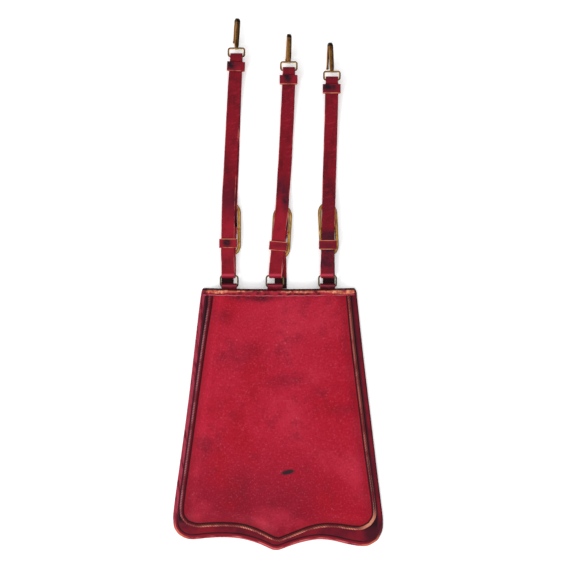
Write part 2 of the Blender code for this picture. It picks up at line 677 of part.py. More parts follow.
def make_buckle(side, sling, finish):
    """An oblong frame, humped where its centre bar crosses it."""
    bar_x, bar = along(sling["far"], sling["bar_y"]), sling["bar_y"]
    half_rail = BUCKLE_RAIL_WIDTH / 2
    half_width = BUCKLE_HALF_WIDTH - half_rail
    outline = rounded_rectangle(half_width, BUCKLE_HALF_LENGTH - half_rail, BUCKLE_CORNER - half_rail,
                                BUCKLE_CORNER_STEPS, BUCKLE_CORNER_LENGTH - half_rail)
    corner_points = BUCKLE_CORNER_STEPS + 1
    top_right, top_left = outline[:corner_points], outline[corner_points:2 * corner_points]
    right = [Vector((half_width, y, 0.0)) for y in BUCKLE_RAIL_MARKS]
    left = [Vector((-half_width, -y, 0.0)) for y in BUCKLE_RAIL_MARKS]
    path = top_left + left + outline[2 * corner_points:] + right + top_right
    centre = Vector((bar_x, bar, BUCKLE_RAIL_Z))
    rise = BUCKLE_BAR_Z - BUCKLE_RAIL_Z
    placed = []
    for p in path:
        lift = rise * bump(p.y, 2 * BUCKLE_BAR_HUMP)
        placed.append(centre + Vector((p.x + sling["frame_lean"] * p.y, p.y, lift)))
    flat_path = [Vector((p.x, p.y, 0)) for p in placed]
    up = Vector((0, 0, 1))
    soft = 0.55

    def section(i):
        across = cross_direction(flat_path, i)
        half_height = BUCKLE_RAIL_HEIGHT / 2
        ring = [(1, -soft), (1, soft), (soft, 1), (-soft, 1), (-1, soft), (-1, -soft), (-soft, -1), (soft, -1)]
        return [across * (a * half_rail) + up * (b * half_height) for a, b in ring]

    made = new_object(f"buckle_frame_{side}", closed_tube(placed, section), finish)
    ends = [Vector((bar_x + reach, bar, BUCKLE_BAR_Z)) for reach in (-half_width, half_width)]
    shape = open_tube(ends, lambda i: round_section(Vector((0, 1, 0)), up, BUCKLE_BAR_RADIUS, 8))
    join(made, shape, f"centre_bar_{side}")


def make_tongue(side, sling, finish):
    """Wire with an eye round the centre bar, its end under the frame's upper bar."""
    bar_x, bar = along(sling["far"], sling["bar_y"]), sling["bar_y"]
    eye = BUCKLE_BAR_RADIUS + CLEARANCE + TONGUE_RADIUS
    turn = fold(bar, BUCKLE_BAR_Z, eye, 20, 285, 9)
    line = turn + [(bar + 4.0, BUCKLE_BAR_Z - eye - 0.05), (bar + 12.0, 2.4), (bar + 22.0, 1.3),
                   (bar + 30.0, 0.95), (bar + 33.6, 0.9)]
    path = [Vector((bar_x, y, z)) for y, z in line]
    side_way = Vector((1, 0, 0))

    def section(i):
        before, after = path[max(i - 1, 0)], path[min(i + 1, len(path) - 1)]
        up = side_way.cross((after - before).normalized())
        return round_section(side_way, up, TONGUE_RADIUS, 6)

    new_object(f"buckle_tongue_{side}", open_tube(path, section), finish)


# The hooks

def make_hook_loop(side, sling, finish):
    x, y, z = along(sling["near"], sling["loop_y"]), loop_bar_y(sling), hook_axis_height(sling)
    centre = Vector((x, y + LOOP_HEIGHT / 2, z))
    path = [centre + p for p in rounded_rectangle(LOOP_HALF_WIDTH, LOOP_HEIGHT / 2, LOOP_CORNER, 3)]
    up = Vector((0, 0, 1))

    def section(i):
        return round_section(cross_direction(path, i), up, LOOP_WIRE, 8)

    made = new_object(f"hook_loop_{side}", closed_tube(path, section), finish)
    boss_y = y + LOOP_HEIGHT
    boss = block((x, boss_y, z), (BOSS_WIDTH, BOSS_LENGTH, BOSS_DEPTH))
    bmesh.ops.bevel(boss, geom=list(boss.edges), offset=0.7 * MM, offset_type="OFFSET", segments=1,
                    profile=0.5, affect="EDGES", material=-1)
    join(made, boss, f"swivel_boss_{side}")
    ends = [Vector((x, boss_y - 4.0, z)), Vector((x, boss_y + 4.0, z))]
    hole = open_tube(ends, lambda i: round_section(Vector((1, 0, 0)), up, PIN_HOLE_RADIUS, 12))
    cut(made, hole, f"swivel_hole_{side}")
    ends = [Vector((x, boss_y - 4.0, z)), Vector((x, boss_y - RIVET_SHOULDER, z))]
    recess = open_tube(ends, lambda i: round_section(Vector((1, 0, 0)), up, RIVET_RECESS_RADIUS, 8))
    cut(made, recess, f"rivet_recess_{side}")


def hook_stations(length, back):
    """Rows of (place along, place back, half width, half depth) from the rivet head to the ball nose.

    The nose lies a distance back from the hook's top."""
    half_gape = HOOK_GAPE / 2
    straight = length - half_gape - 1.4
    head = -RIVET_SHOULDER - CLEARANCE
    above = BOSS_LENGTH / 2 + CLEARANCE
    rows = [
        (head - 0.55, 0.0, 1.1, 1.1), (head - 0.4, 0.0, RIVET_RADIUS, RIVET_RADIUS),
        (head - 0.01, 0.0, RIVET_RADIUS, RIVET_RADIUS),
        (head, 0.0, PIN_RADIUS, PIN_RADIUS), (above, 0.0, PIN_RADIUS, PIN_RADIUS),
        (above + 0.01, 0.0, 2.6, 1.8), (above + 2.0, 0.0, 2.7, 1.6),
        (above + 5.0, 0.0, HOOK_BAR_HALF_WIDTH, HOOK_BAR_HALF_DEPTH),
        (straight, 0.0, HOOK_BAR_HALF_WIDTH, HOOK_BAR_HALF_DEPTH),
    ]
    for step in range(1, 8):
        angle = math.pi * step / 8
        thin = step / 8
        rows.append((straight + half_gape * math.sin(angle), half_gape * (1 - math.cos(angle)),
                     HOOK_BAR_HALF_WIDTH + (1.7 - HOOK_BAR_HALF_WIDTH) * thin,
                     HOOK_BAR_HALF_DEPTH + (HOOK_LEG_RADIUS - HOOK_BAR_HALF_DEPTH) * thin))
    rows.append((straight, HOOK_GAPE, 1.7, HOOK_LEG_RADIUS))
    nose = length - back
    ball = HOOK_BALL_RADIUS
    rows += [(nose + 3.4, HOOK_GAPE, 1.35, 1.25), (nose + 1.7, HOOK_GAPE, 1.2, 1.2)]
    rows += [(nose + 1.2, HOOK_GAPE, 1.6, 1.6), (nose, HOOK_GAPE, ball, ball),
             (nose - 1.2, HOOK_GAPE, 1.5, 1.5), (nose - 1.7, HOOK_GAPE, 0.7, 0.7)]
    return rows


def hook_sideways(row, length, back, splay):
    """How far the hook's free leg has strayed sideways at a row, from its bend to its nose."""
    if row[1] < HOOK_GAPE / 2:
        return 0.0
    return splay * max(0.0, (length - row[0]) / back)


def make_hook(side, sling, finish):
    x, z = along(sling["near"], sling["loop_y"]), hook_axis_height(sling)
    boss_y = loop_bar_y(sling) + LOOP_HEIGHT
    length, back = sling["hook_length"], sling["hook_return"]
    rows = hook_stations(length, back)
    path = [Vector((-hook_sideways(row, length, back, sling["hook_splay"]), row[0], -row[1])) for row in rows]
    side_way = Vector((1, 0, 0))
    flat = 0.5
    ring = [(1, -flat), (1, flat), (0.62, 1), (-0.62, 1), (-1, flat), (-1, -flat), (-0.62, -1), (0.62, -1)]

    def section(i):
        before, after = path[max(i - 1, 0)], path[min(i + 1, len(path) - 1)]
        up = side_way.cross((after - before).normalized())
        return [side_way * (a * rows[i][2]) + up * (b * rows[i][3]) for a, b in ring]

    shape = open_tube(path, section)
    made = new_object(f"hook_{side}", shape, finish)
    made.location = Vector((x, boss_y, z)) * MM
    made.rotation_euler = (0.0, math.radians(sling["hook_turn"]), math.radians(sling["hook_lean"]))


def main():
    clear_scene()
    red = finish_material("red_leather", LEATHER_RED, 0.5, 0.0)
    dark = finish_material("dark_leather", LEATHER_DARK, 0.6, 0.0)
    strap = finish_material("sling_leather", LEATHER_SLING, 0.5, 0.0)
    worn = finish_material("worn_leather", LEATHER_WORN, 0.7, 0.0)
    gold = finish_material("gold_brass", BRASS_GOLD, 0.35, 1.0)
    brown = finish_material("brown_brass", BRASS_BROWN, 0.45, 1.0)
    dull = finish_material("dark_brass", BRASS_DARK, 0.5, 1.0)
    shape = PocketShape()
    make_board(red)
    make_panel(shape, red)
    make_binding(shape, worn)
    for side, sling in SLINGS.items():
        make_chape(side, sling, dark)
        make_ring(side, sling, dull)
        make_sling(side, sling, strap)
        make_keepers(side, sling, dark)
        make_buckle(side, sling, gold)
        make_tongue(side, sling, gold)
        make_hook_loop(side, sling, gold)
        make_hook(side, sling, brown)


main()
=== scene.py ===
"""Looks of a plain red leather sabretache that lies on its face with its three slings laid out."""

import bisect
import math

import bmesh
import bpy
import numpy as np
from mathutils import Matrix, Vector


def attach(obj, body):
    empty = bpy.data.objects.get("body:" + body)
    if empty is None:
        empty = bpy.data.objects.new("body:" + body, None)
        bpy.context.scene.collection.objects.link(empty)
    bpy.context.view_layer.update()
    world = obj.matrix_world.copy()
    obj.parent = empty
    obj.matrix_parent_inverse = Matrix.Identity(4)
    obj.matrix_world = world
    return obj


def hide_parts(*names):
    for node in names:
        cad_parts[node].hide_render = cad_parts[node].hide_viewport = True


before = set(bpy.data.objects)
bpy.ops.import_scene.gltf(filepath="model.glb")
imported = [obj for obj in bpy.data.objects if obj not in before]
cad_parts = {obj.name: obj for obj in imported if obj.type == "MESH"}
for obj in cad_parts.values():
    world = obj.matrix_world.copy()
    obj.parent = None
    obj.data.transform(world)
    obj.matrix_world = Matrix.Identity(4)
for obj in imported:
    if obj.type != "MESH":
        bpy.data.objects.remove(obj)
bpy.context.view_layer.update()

UP = Vector((0, 0, 1))
SIDEWAYS = Vector((1, 0, 0))
# Degrees between two faces from which their edge stays sharp
SHARP_ANGLE = 40.0
# In metres, for corners that become one
MERGE_DISTANCE = 0.000005
# Lengths from here to the slings' table are in millimetres, turned into metres when a mesh is made
MM = 0.001
CLEARANCE = 0.3

# The board, the pocket panel and the binding
BOARD_THICKNESS = 3.0
PANEL_THICKNESS = 2.0
PANEL_RAW_EDGE = 1.2
POCKET_DEPTH_AT_MOUTH = 6.6
POCKET_DEPTH_AT_FOOT = 4.2
SEAM_WIDTH = 6.0
SWELL_WIDTH = 14.0
BEAD_CENTRE = 2.1
BEAD_HALF_WIDTH = 2.1
BEAD_HEIGHT = 1.1
BINDING_END = 14.8
BEAD_RISE = 4.0
GROOVE_CENTRE = 5.0
GROOVE_HALF_WIDTH = 1.3
GROOVE_DEPTH = 0.6
MOUTH_CORNER_Y = -4.5
MOUTH_SAG = 1.4
MOUTH_HALF_WIDTH = 100.0
BINDING_SETBACK = 1.5
RIM_SETBACK = 2.9
BINDING_WIDTH = 7.4
BINDING_THICKNESS = 1.2
BINDING_SEAT = 0.55
BINDING_ENDS = (-98.0, 100.0)
PANEL_MEAN_WIDTH = 225.0
PANEL_MEAN_HEIGHT = 312.0
PANEL_WALL_RISE = 3.0
PANEL_EDGE_DROP = 0.35
PANEL_EDGE_RUN = 0.6
BOARD_MEAN_WIDTH = 240.0
BOARD_MEAN_HEIGHT = 330.0
BOARD_EDGE_DROP = 0.9
BOARD_EDGE_RUN = 1.1

# The straps and the rings
STRAP_WIDTH = 17.3
FAR_WIDTH = 15.8
LOOP_END_WIDTH = 16.2
LOOP_END_RUN = 14.0
STRAP_THICKNESS = 1.6
STRAP_ROUNDING = 0.5
STRAP_SPACING = 2.5
FOLD_STEPS = 14
CHAPE_WIDTH = 20.0
CHAPE_TAIL_END = -24.0
RING_HALF_WIDTH = 11.3
RING_HALF_HEIGHT = 7.25
RING_CORNER = 3.6
RING_SLACK = 0.45
CHAPE_SLACK = 1.4
RING_WIRE = 1.1
RING_CENTRE_Y = 4.35
RING_Z = 6.3

# The hooks' loops with their bosses and pins
LOOP_HALF_WIDTH = 10.2
LOOP_HEIGHT = 10.4
LOOP_CORNER = 2.4
LOOP_WIRE = 1.3
LOOP_SLACK = 1.0
BOSS_WIDTH = 6.4
BOSS_DEPTH = 4.8
BOSS_LENGTH = 2.8
BOSS_BEVEL = 0.9
DRILL_REACH = 4.0
PIN_RADIUS = 0.9
PIN_HOLE_RADIUS = 1.25
RIVET_RADIUS = 1.5
RIVET_RECESS_RADIUS = 1.9
RIVET_SHOULDER = 0.5

# The keepers
KEEPER_WALL = 1.2
KEEPER_SLACK = 0.5
KEEPER_HALF_WIDTH = 11.7
KEEPER_LENGTH = 12.0
KEEPER_MARGIN = 0.6
KEEPER_CORNER = 1.2

# The buckles and their tongues, with the slots for them
BUCKLE_HALF_WIDTH = 12.65
BUCKLE_HALF_LENGTH = 34.2
BUCKLE_CORNER = 10.0
BUCKLE_CORNER_LENGTH = 14.0
BUCKLE_RAIL_WIDTH = 3.6
BUCKLE_RAIL_HEIGHT = 2.4
BUCKLE_RAIL_SWELL = 0.3
BUCKLE_RAIL_Z = 3.2
BUCKLE_BAR_Z = 5.3
BUCKLE_BAR_RADIUS = 1.2
BUCKLE_BAR_HUMP = 5.0
TONGUE_RADIUS = 0.8
TONGUE_SLOT_WIDTH = 3.2
TONGUE_SLOT_LENGTH = 12.0
TONGUE_SLOT_RUN = 11.4
TONGUE_SLOT_HEIGHT = 3.0
TONGUE_SLOT_DEPTH = 5.6
EYE_SLOT_LENGTH = 9.4
EYE_SLOT_SHIFT = 0.6
EYE_SLOT_FLOOR = 2.05

# The hooks
HOOK_GAPE = 8.6
HOOK_BAR_HALF_WIDTH = 3.0
HOOK_BAR_HALF_DEPTH = 1.6
HOOK_LEG_RADIUS = 1.35
HOOK_BALL_RADIUS = 1.9
HOOK_REST_GAP = 0.35
HOOK_BLACK_END = 4.6

# Edge of the face board from the mouth down the left side, round the foot and up the right side
BOARD_LEFT = [(-97.6, -4.9), (-101.1, -15.0), (-108.4, -75.2), (-116.6, -145.8), (-126.0, -216.5),
              (-133.7, -271.4), (-137.2, -300.0), (-137.3, -308.0), (-135.9, -318.6), (-130.4, -327.0)]
BOARD_FOOT = [(-130.4, -327.0), (-122.0, -332.0), (-111.2, -333.8),
              (-92.0, -332.0), (-73.2, -331.1), (-55.0, -332.0), (-40.5, -334.6), (-23.5, -340.0),
              (-10.0, -346.2), (-3.0, -348.25), (5.0, -346.4), (18.3, -341.4), (35.3, -336.5), (54.3, -333.7),
              (71.9, -335.4), (90.3, -339.8), (107.3, -342.6), (119.0, -341.7), (130.4, -335.0)]
BOARD_RIGHT = [(100.0, -5.0), (102.8, -10.0), (103.9, -20.3), (108.4, -63.4), (114.2, -114.5),
               (121.8, -177.2), (129.6, -242.6), (135.0, -286.0), (137.5, -308.0), (136.4, -322.6),
               (130.4, -335.0)]

# Cut edge of the pocket panel: left side and right side from the mouth down, and the foot between them
PANEL_LEFT = [(-90.2, -7.7), (-91.2, -22.0), (-93.8, -40.0), (-99.4, -75.2), (-109.1, -145.8),
              (-118.7, -216.5), (-126.4, -271.4), (-128.6, -292.3), (-127.0, -304.6), (-119.6, -313.8)]
PANEL_FOOT = [(-119.6, -313.8), (-106.0, -317.8), (-88.9, -317.0), (-68.0, -316.6), (-49.7, -318.1),
              (-36.6, -321.4), (-23.5, -326.6), (-10.5, -333.2), (0.0, -336.6), (10.0, -333.6),
              (28.8, -326.3), (43.2, -321.1), (60.2, -318.0), (78.5, -318.4), (95.0, -320.7),
              (110.0, -320.9), (121.6, -315.0)]
PANEL_RIGHT = [(93.8, -7.7), (95.5, -22.0), (100.7, -75.2), (109.2, -145.8), (118.1, -216.5),
               (125.8, -271.4), (128.4, -292.3), (127.8, -305.0), (121.6, -315.0)]

# Each sling: rows of (y, x) along its near and far run and its tip, then the places of its chape, end,
# buckle bar, hook loop and keepers, and how its buckle and its hook lean, turn and bend
SLINGS = {
    "left": {
        "near": [(-16.0, -65.2), (21.0, -65.3), (40.0, -65.8), (70.0, -65.4), (97.0, -65.0), (123.0, -64.2),
                 (162.0, -62.0), (201.0, -60.1), (241.0, -57.9), (262.0, -56.7), (299.0, -54.3)],
        "far": [(-16.0, -62.7), (11.2, -62.8), (35.0, -62.9), (54.0, -62.9), (72.6, -61.2), (90.0, -61.2),
                (123.0, -60.5), (162.0, -59.0), (201.0, -57.7), (241.0, -56.3), (299.0, -54.3)],
        "tip": [(-4.8, -66.2), (10.0, -66.0), (30.0, -63.6), (42.0, -62.9), (58.0, -62.9), (66.0, -61.8),
                (72.6, -61.2)],
        "chape_x": -63.8, "tip_end": -4.8, "bar_y": 72.6, "loop_y": 299.0,
        "keeper_lower_y": 53.8, "keeper_lower_x": -65.1, "keeper_lower_slant": 0.0,
        "keeper_upper_y": 284.8, "keeper_upper_x": -54.9, "keeper_upper_slant": -3.0,
        "frame_lean": 0.0, "hook_length": 39.7, "hook_turn": 22.0, "hook_lean": -3.6,
        "hook_return": 31.0, "hook_splay": 0.6,
    },
    "middle": {
        "near": [(-16.0, -3.6), (12.0, -3.5), (21.0, -3.1), (37.0, -1.5), (52.0, 0.0), (63.0, 0.9),
                 (84.0, 3.4), (110.0, 5.9), (142.0, 7.7), (182.0, 10.1), (221.0, 11.9), (251.0, 13.5),
                 (281.0, 14.2)],
        "far": [(-16.0, -3.0), (11.2, -2.6), (34.2, 1.2), (56.0, 1.9), (68.2, 4.6), (90.0, 5.8), (110.0, 6.6),
                (123.0, 7.5), (142.0, 9.0), (162.0, 10.3), (201.0, 12.1), (241.0, 13.8), (281.0, 14.2)],
        "tip": [(-8.0, 3.6), (30.0, 3.2), (44.0, 2.0), (55.0, 2.1), (63.0, 3.9), (68.2, 4.6)],
        "chape_x": -3.9, "tip_end": -5.4, "bar_y": 68.2, "loop_y": 281.0,
        "keeper_lower_y": 50.2, "keeper_lower_x": 0.2, "keeper_lower_slant": -5.0,
        "keeper_upper_y": 267.4, "keeper_upper_x": 13.8, "keeper_upper_slant": 0.0,
        "frame_lean": 0.055, "hook_length": 37.3, "hook_turn": 10.0, "hook_lean": -1.2,
        "hook_return": 33.8, "hook_splay": 1.8,
    },
    "right": {
        "near": [(-16.0, 63.7), (11.2, 63.9), (21.0, 64.0), (37.0, 64.7), (84.0, 65.8), (110.0, 66.4),
                 (123.0, 66.6), (162.0, 67.8), (201.0, 69.0), (241.0, 70.0), (268.6, 70.4)],
        "far": [(-16.0, 65.4), (11.2, 65.6), (35.0, 65.8), (72.6, 65.9), (90.0, 65.9), (110.0, 67.2),
                (123.0, 67.7), (162.0, 68.9), (201.0, 69.9), (241.0, 70.5), (268.6, 70.4)],
        "tip": [(-4.8, 66.6), (10.0, 66.6), (40.0, 66.2), (72.6, 65.9)],
        "chape_x": 64.8, "tip_end": -4.8, "bar_y": 72.6, "loop_y": 268.6,
        "keeper_lower_y": 51.8, "keeper_lower_x": 65.2, "keeper_lower_slant": 0.0,
        "keeper_upper_y": 255.6, "keeper_upper_x": 70.1, "keeper_upper_slant": 0.0,
        "frame_lean": -0.045, "hook_length": 38.5, "hook_turn": 16.0, "hook_lean": 2.1,
        "hook_return": 33.5, "hook_splay": 3.4,
    },
}


# Finishes

# How strongly leather mirrors its surroundings
LEATHER_GLOSS = 0.12


class Finish:
    """A material put together from nodes; its colour is what has been painted so far."""

    def __init__(self, name, colour, roughness, metallic=0.0, gloss=0.5):
        self.material = bpy.data.materials.new(name)
        self.material.use_nodes = True
        self.tree = self.material.node_tree
        self.shader = self.tree.nodes["Principled BSDF"]
        self.fill(self.shader, {"Roughness": roughness, "Metallic": metallic, "Specular IOR Level": gloss})
        self.colour = colour

    def fill(self, node, inputs):
        """Give each input a number, a colour or another node's output."""
        for name, value in inputs.items():
            if isinstance(value, bpy.types.NodeSocket):
                self.tree.links.new(value, node.inputs[name])
            else:
                node.inputs[name].default_value = value

    def add(self, kind, inputs, **settings):
        """The outputs of a new node."""
        node = self.tree.nodes.new(f"ShaderNode{kind}")
        for name, value in settings.items():
            setattr(node, name, value)
        self.fill(node, inputs)
        return node.outputs

    def place(self):
        return self.add("TexCoord", {})["Object"]

    def sheet_place(self):
        return self.add("UVMap", {}, uv_map="Leather")["UV"]

    def mark(self, name):
        return self.add("Attribute", {}, attribute_name=name)["Fac"]

    def moved(self, place, offset=(0, 0, 0), turn=0.0, stretch=(1, 1, 1)):
        """The place less an offset, turned about Z and stretched."""
        inputs = {"Vector": place, "Location": offset, "Rotation": (0, 0, turn), "Scale": stretch}
        return self.add("Mapping", inputs, vector_type="TEXTURE")["Vector"]

    def part(self, vector, axis):
        return self.add("SeparateXYZ", {"Vector": vector})[axis]

    def noise(self, place, scale, detail=3.0, rough=0.5):
        inputs = {"Vector": place, "Scale": scale, "Detail": detail, "Roughness": rough}
        return self.add("TexNoise", inputs)["Fac"]

    def cells(self, place, scale):
        return self.add("TexVoronoi", {"Vector": place, "Scale": scale})["Distance"]

    def steps(self, value, low, high, start=0.0, end=1.0):
        """Smooth change from start to end as the value goes from low to high."""
        inputs = {"Value": value, "From Min": low, "From Max": high, "To Min": start, "To Max": end}
        return self.add("MapRange", inputs, interpolation_type="SMOOTHSTEP")["Result"]

    def maths(self, operation, first, second=0.0):
        return self.add("Math", {0: first, 1: second}, operation=operation)["Value"]

    def times(self, *values):
        product = values[0]
        for value in values[1:]:
            product = self.maths("MULTIPLY", product, value)
        return product

    def rest(self, share):
        """What a share leaves."""
        return self.maths("SUBTRACT", 1.0, share)

    def band(self, value, centre, half_width, soft):
        """1 within half a width of the centre, and 0 further away."""
        away = self.maths("ABSOLUTE", self.maths("SUBTRACT", value, centre))
        return self.steps(away, half_width + soft, half_width - soft)

    def spot(self, place, centre, half_sizes, turn, soft):
        """1 inside an ellipse and 0 outside it, with a soft edge."""
        local = self.moved(place, (*centre, 0.0), turn, (*half_sizes, 1.0))
        x, y = self.part(local, "X"), self.part(local, "Y")
        reach = self.maths("SQRT", self.maths("ADD", self.times(x, x), self.times(y, y)))
        return self.steps(reach, 1.0 + soft, 1.0 - soft)

    def paint(self, under, over, *shares):
        """One colour laid over another by the product of the shares."""
        return self.add("Mix", {0: self.times(*shares), 6: under, 7: over}, data_type="RGBA")[2]

    def coat(self, over, *shares):
        """Lay a colour over what has been painted so far."""
        self.colour = self.paint(self.colour, over, *shares)

    def bump(self, height, strength, depth, under=None):
        inputs = {"Height": height, "Strength": strength, "Distance": depth * MM}
        if under is not None:
            inputs["Normal"] = under
        return self.add("Bump", inputs)["Normal"]

    def done(self, roughness, normal=None):
        self.fill(self.shader, {"Base Color": self.colour, "Roughness": roughness})
        if normal is not None:
            self.fill(self.shader, {"Normal": normal})
        return self.material


def shade(red, green, blue):
    """A colour as the eye names it, 0 to 255, turned into the shader's linear one."""
    linear = []
    for part in (red, green, blue):
        level = part / 255
        linear.append(level / 12.92 if level <= 0.04045 else ((level + 0.055) / 1.055) ** 2.4)
    return (*linear, 1.0)


def grain(finish, place, size):
    """Height of pebbled leather grain, with the size of a pebble in millimetres."""
    scale = 1000.0 / size
    pebbles = finish.cells(place, scale)
    fine = finish.noise(place, scale * 2.2, 4.0, 0.6)
    return finish.maths("ADD", finish.times(pebbles, -0.8), finish.times(fine, 0.7))


# Soft dark smudges on the pocket, each one: centre x and y, half width, half height, turn, darkness
SMUDGES = [(-30.0, -17.0, 26.0, 5.6, 0.0, 1.0), (-71.9, -42.0, 12.0, 9.0, 0.05, 0.45),
           (-49.1, -92.2, 27.0, 13.0, 0.25, 0.4), (9.2, -125.6, 23.0, 9.0, 0.2, 0.4),
           (-99.4, -208.0, 12.0, 10.0, 0.3, 0.4), (-53.6, -267.5, 15.0, 26.0, -0.3, 0.35)]
# The same for the slings
SLING_STAINS = [(-62.0, 110.0, 14.0, 21.0, 0.0, 0.6), (66.0, 34.0, 14.0, 22.0, 0.0, 1.1),
                (66.5, 64.0, 14.0, 8.0, 0.0, 1.0), (9.8, 112.0, 4.6, 15.0, 0.0, 1.0),
                (65.8, 104.0, 14.0, 26.0, 0.0, 0.35), (2.0, 128.0, 14.0, 12.0, 0.0, 0.7),
                (-64.1, 323.6, 14.0, 3.6, 0.0, 1.5), (9.8, 304.6, 14.0, 3.6, 0.0, 1.5),
                (64.9, 291.4, 14.0, 3.6, 0.0, 1.5), (-63.7, 311.0, 14.0, 14.0, 0.0, 0.55),
                (10.2, 291.0, 14.0, 14.0, 0.0, 0.5), (65.5, 278.0, 14.0, 14.0, 0.0, 0.5)]
# Where the slings have kept their fresh red, in the same form
FRESH_RED = [(-63.4, 64.0, 14.0, 40.0, 0.0, 1.0), (3.5, 70.0, 14.0, 46.0, 0.0, 1.0),
             (66.0, 15.0, 12.0, 8.0, 0.0, 1.0), (-62.0, 180.0, 14.0, 50.0, 0.0, 0.2)]
# Dark stains on the keepers, in the same form
KEEPER_STAINS = [(-62.5, 286.6, 9.0, 6.0, 0.2, 1.0), (12.0, 270.5, 6.0, 8.0, 0.4, 1.05),
                 (67.0, 258.0, 9.0, 5.4, 0.1, 1.05), (-66.6, 54.9, 5.4, 6.0, 0.5, 1.1),
                 (65.0, 281.0, 20.0, 40.0, 0.0, 0.5), (4.5, 51.5, 12.0, 3.2, 0.0, 0.5),
                 (66.0, 52.0, 16.0, 8.0, 0.0, 0.55)]
# Runs along the panel's edge at which its left side ends and its right side starts
LEFT_RUN_END = 304.0
RIGHT_RUN_START = 566.0
CORNER_RUN = 12.0


def smudge(finish, place, row):
    """A soft uneven dark patch from a row of a table of them."""
    x, y, half_width, half_height, turn, darkness = row
    shape = finish.spot(place, (x * MM, y * MM), (half_width * MM, half_height * MM), turn, 0.75)
    uneven = finish.steps(finish.noise(place, 75.0, 5.0, 0.7), 0.3, 0.6, 0.25, 1.0)
    return finish.times(shape, uneven, darkness)


def edge_sides(finish, run):
    """Shares of the left side and of the right side of the panel's edge."""
    left = finish.steps(run, LEFT_RUN_END + CORNER_RUN, LEFT_RUN_END - CORNER_RUN)
    right = finish.steps(run, RIGHT_RUN_START - CORNER_RUN, RIGHT_RUN_START + CORNER_RUN)
    return left, right


def paint_panel_ground(finish, place):
    """The red of the pocket, mottled, smudged and speckled, with a painted sheen in its light speckles."""
    across, down = finish.part(place, "X"), finish.part(place, "Y")
    large = finish.noise(place, 11.0, 3.0, 0.6)
    blotch = finish.noise(place, 38.0, 4.0, 0.62)
    finish.coat(shade(120, 2, 28), finish.steps(down, -0.18, -0.31))
    finish.coat(shade(152, 2, 30), finish.steps(across, 0.01, 0.10, 0.0, 0.8))
    finish.coat(shade(172, 34, 56), finish.steps(large, 0.48, 0.7, 0.0, 0.7))
    finish.coat(shade(146, 0, 22), finish.steps(large, 0.5, 0.3, 0.0, 0.75))
    finish.coat(shade(112, 8, 28), finish.steps(blotch, 0.5, 0.74, 0.0, 0.5))
    for row in SMUDGES:
        finish.coat(shade(76, 4, 22), smudge(finish, place, row))
    speckle_and_sheen = finish.noise(place, 420.0, 3.0, 0.65)
    # Painted sheen in the light speckles and flecks
    finish.coat(shade(186, 66, 86), finish.steps(speckle_and_sheen, 0.52, 0.76, 0.0, 0.45))
    finish.coat(shade(108, 0, 14), finish.steps(speckle_and_sheen, 0.46, 0.26, 0.0, 0.6))
    sheen_flecks = finish.steps(finish.cells(place, 120.0), 0.15, 0.07)
    finish.coat(shade(206, 120, 126), sheen_flecks, finish.steps(finish.noise(place, 44.0), 0.54, 0.62), 0.2)
    ink = finish.spot(place, (0.0130, -0.2451), (0.0088, 0.0030), 0.22, 0.35)
    finish.coat(shade(26, 24, 30), ink, 0.95)


def panel_finish():
    finish = Finish("panel_leather", shade(160, 16, 42), 0.5, gloss=LEATHER_GLOSS)
    place = finish.place()
    inset, run = finish.mark("Inset"), finish.mark("Run")
    patches = finish.noise(place, 46.0, 4.0, 0.6)
    paint_panel_ground(finish, place)
    finish.coat(shade(128, 8, 26), finish.steps(inset, 16.0, 6.0, 0.0, 0.5))
    left, right = edge_sides(finish, run)
    slant = finish.maths("SINE", finish.maths("ADD", finish.times(run, 1.9), finish.times(inset, 1.7)))
    ropes = finish.steps(slant, 0.1, -0.8)
    # Half of the bead near the board and half near the pocket, side by side for foot, left and right, with
    # painted highlights where the bead faces left or down and painted shade where it faces right or up
    outer = finish.paint(shade(206, 116, 100), shade(146, 90, 98), left)
    outer = finish.paint(outer, shade(104, 52, 44), right)
    inner = finish.paint(shade(96, 52, 42), shade(116, 16, 30), left)
    low = finish.steps(finish.part(place, "Y"), -0.2, -0.27)
    tan = finish.paint(shade(172, 88, 80), shade(104, 52, 56), low)
    inner = finish.paint(inner, tan, right)
    bead = finish.paint(outer, inner, finish.steps(inset, 1.5, 2.5))
    ridges = finish.maths("MAXIMUM", finish.band(inset, 0.8, 0.3, 0.25), finish.band(inset, 3.2, 0.35, 0.3))
    bead = finish.paint(bead, shade(44, 10, 16), right, low, 0.7)
    bead = finish.paint(bead, shade(160, 98, 96), right, low, ridges, 0.85)
    bead = finish.paint(bead, shade(58, 10, 18), ropes, 0.75)
    bead = finish.paint(bead, shade(92, 8, 24), finish.steps(patches, 0.42, 0.6, 0.0, 0.8))
    corner = finish.times(finish.rest(left), finish.band(run, RIGHT_RUN_START - 2.0, 14.0, 12.0))
    bead = finish.paint(bead, shade(212, 136, 110), corner, 0.8)
    finish.coat(bead, finish.steps(inset, 4.5, 3.9))
    # Painted shade in the groove inside the bead
    finish.coat(shade(24, 0, 4), finish.band(inset, GROOVE_CENTRE, 0.95, 0.5), 0.92)
    fine = grain(finish, place, 1.3)
    normal = finish.bump(fine, 0.3, 0.45)
    rope = finish.times(slant, finish.band(inset, BEAD_CENTRE, 1.5, 0.6))
    normal = finish.bump(rope, 0.6, 0.35, normal)
    rough = finish.steps(finish.noise(place, 25.0, 4.0), 0.3, 0.7, 0.4, 0.62)
    return finish.done(rough, normal)


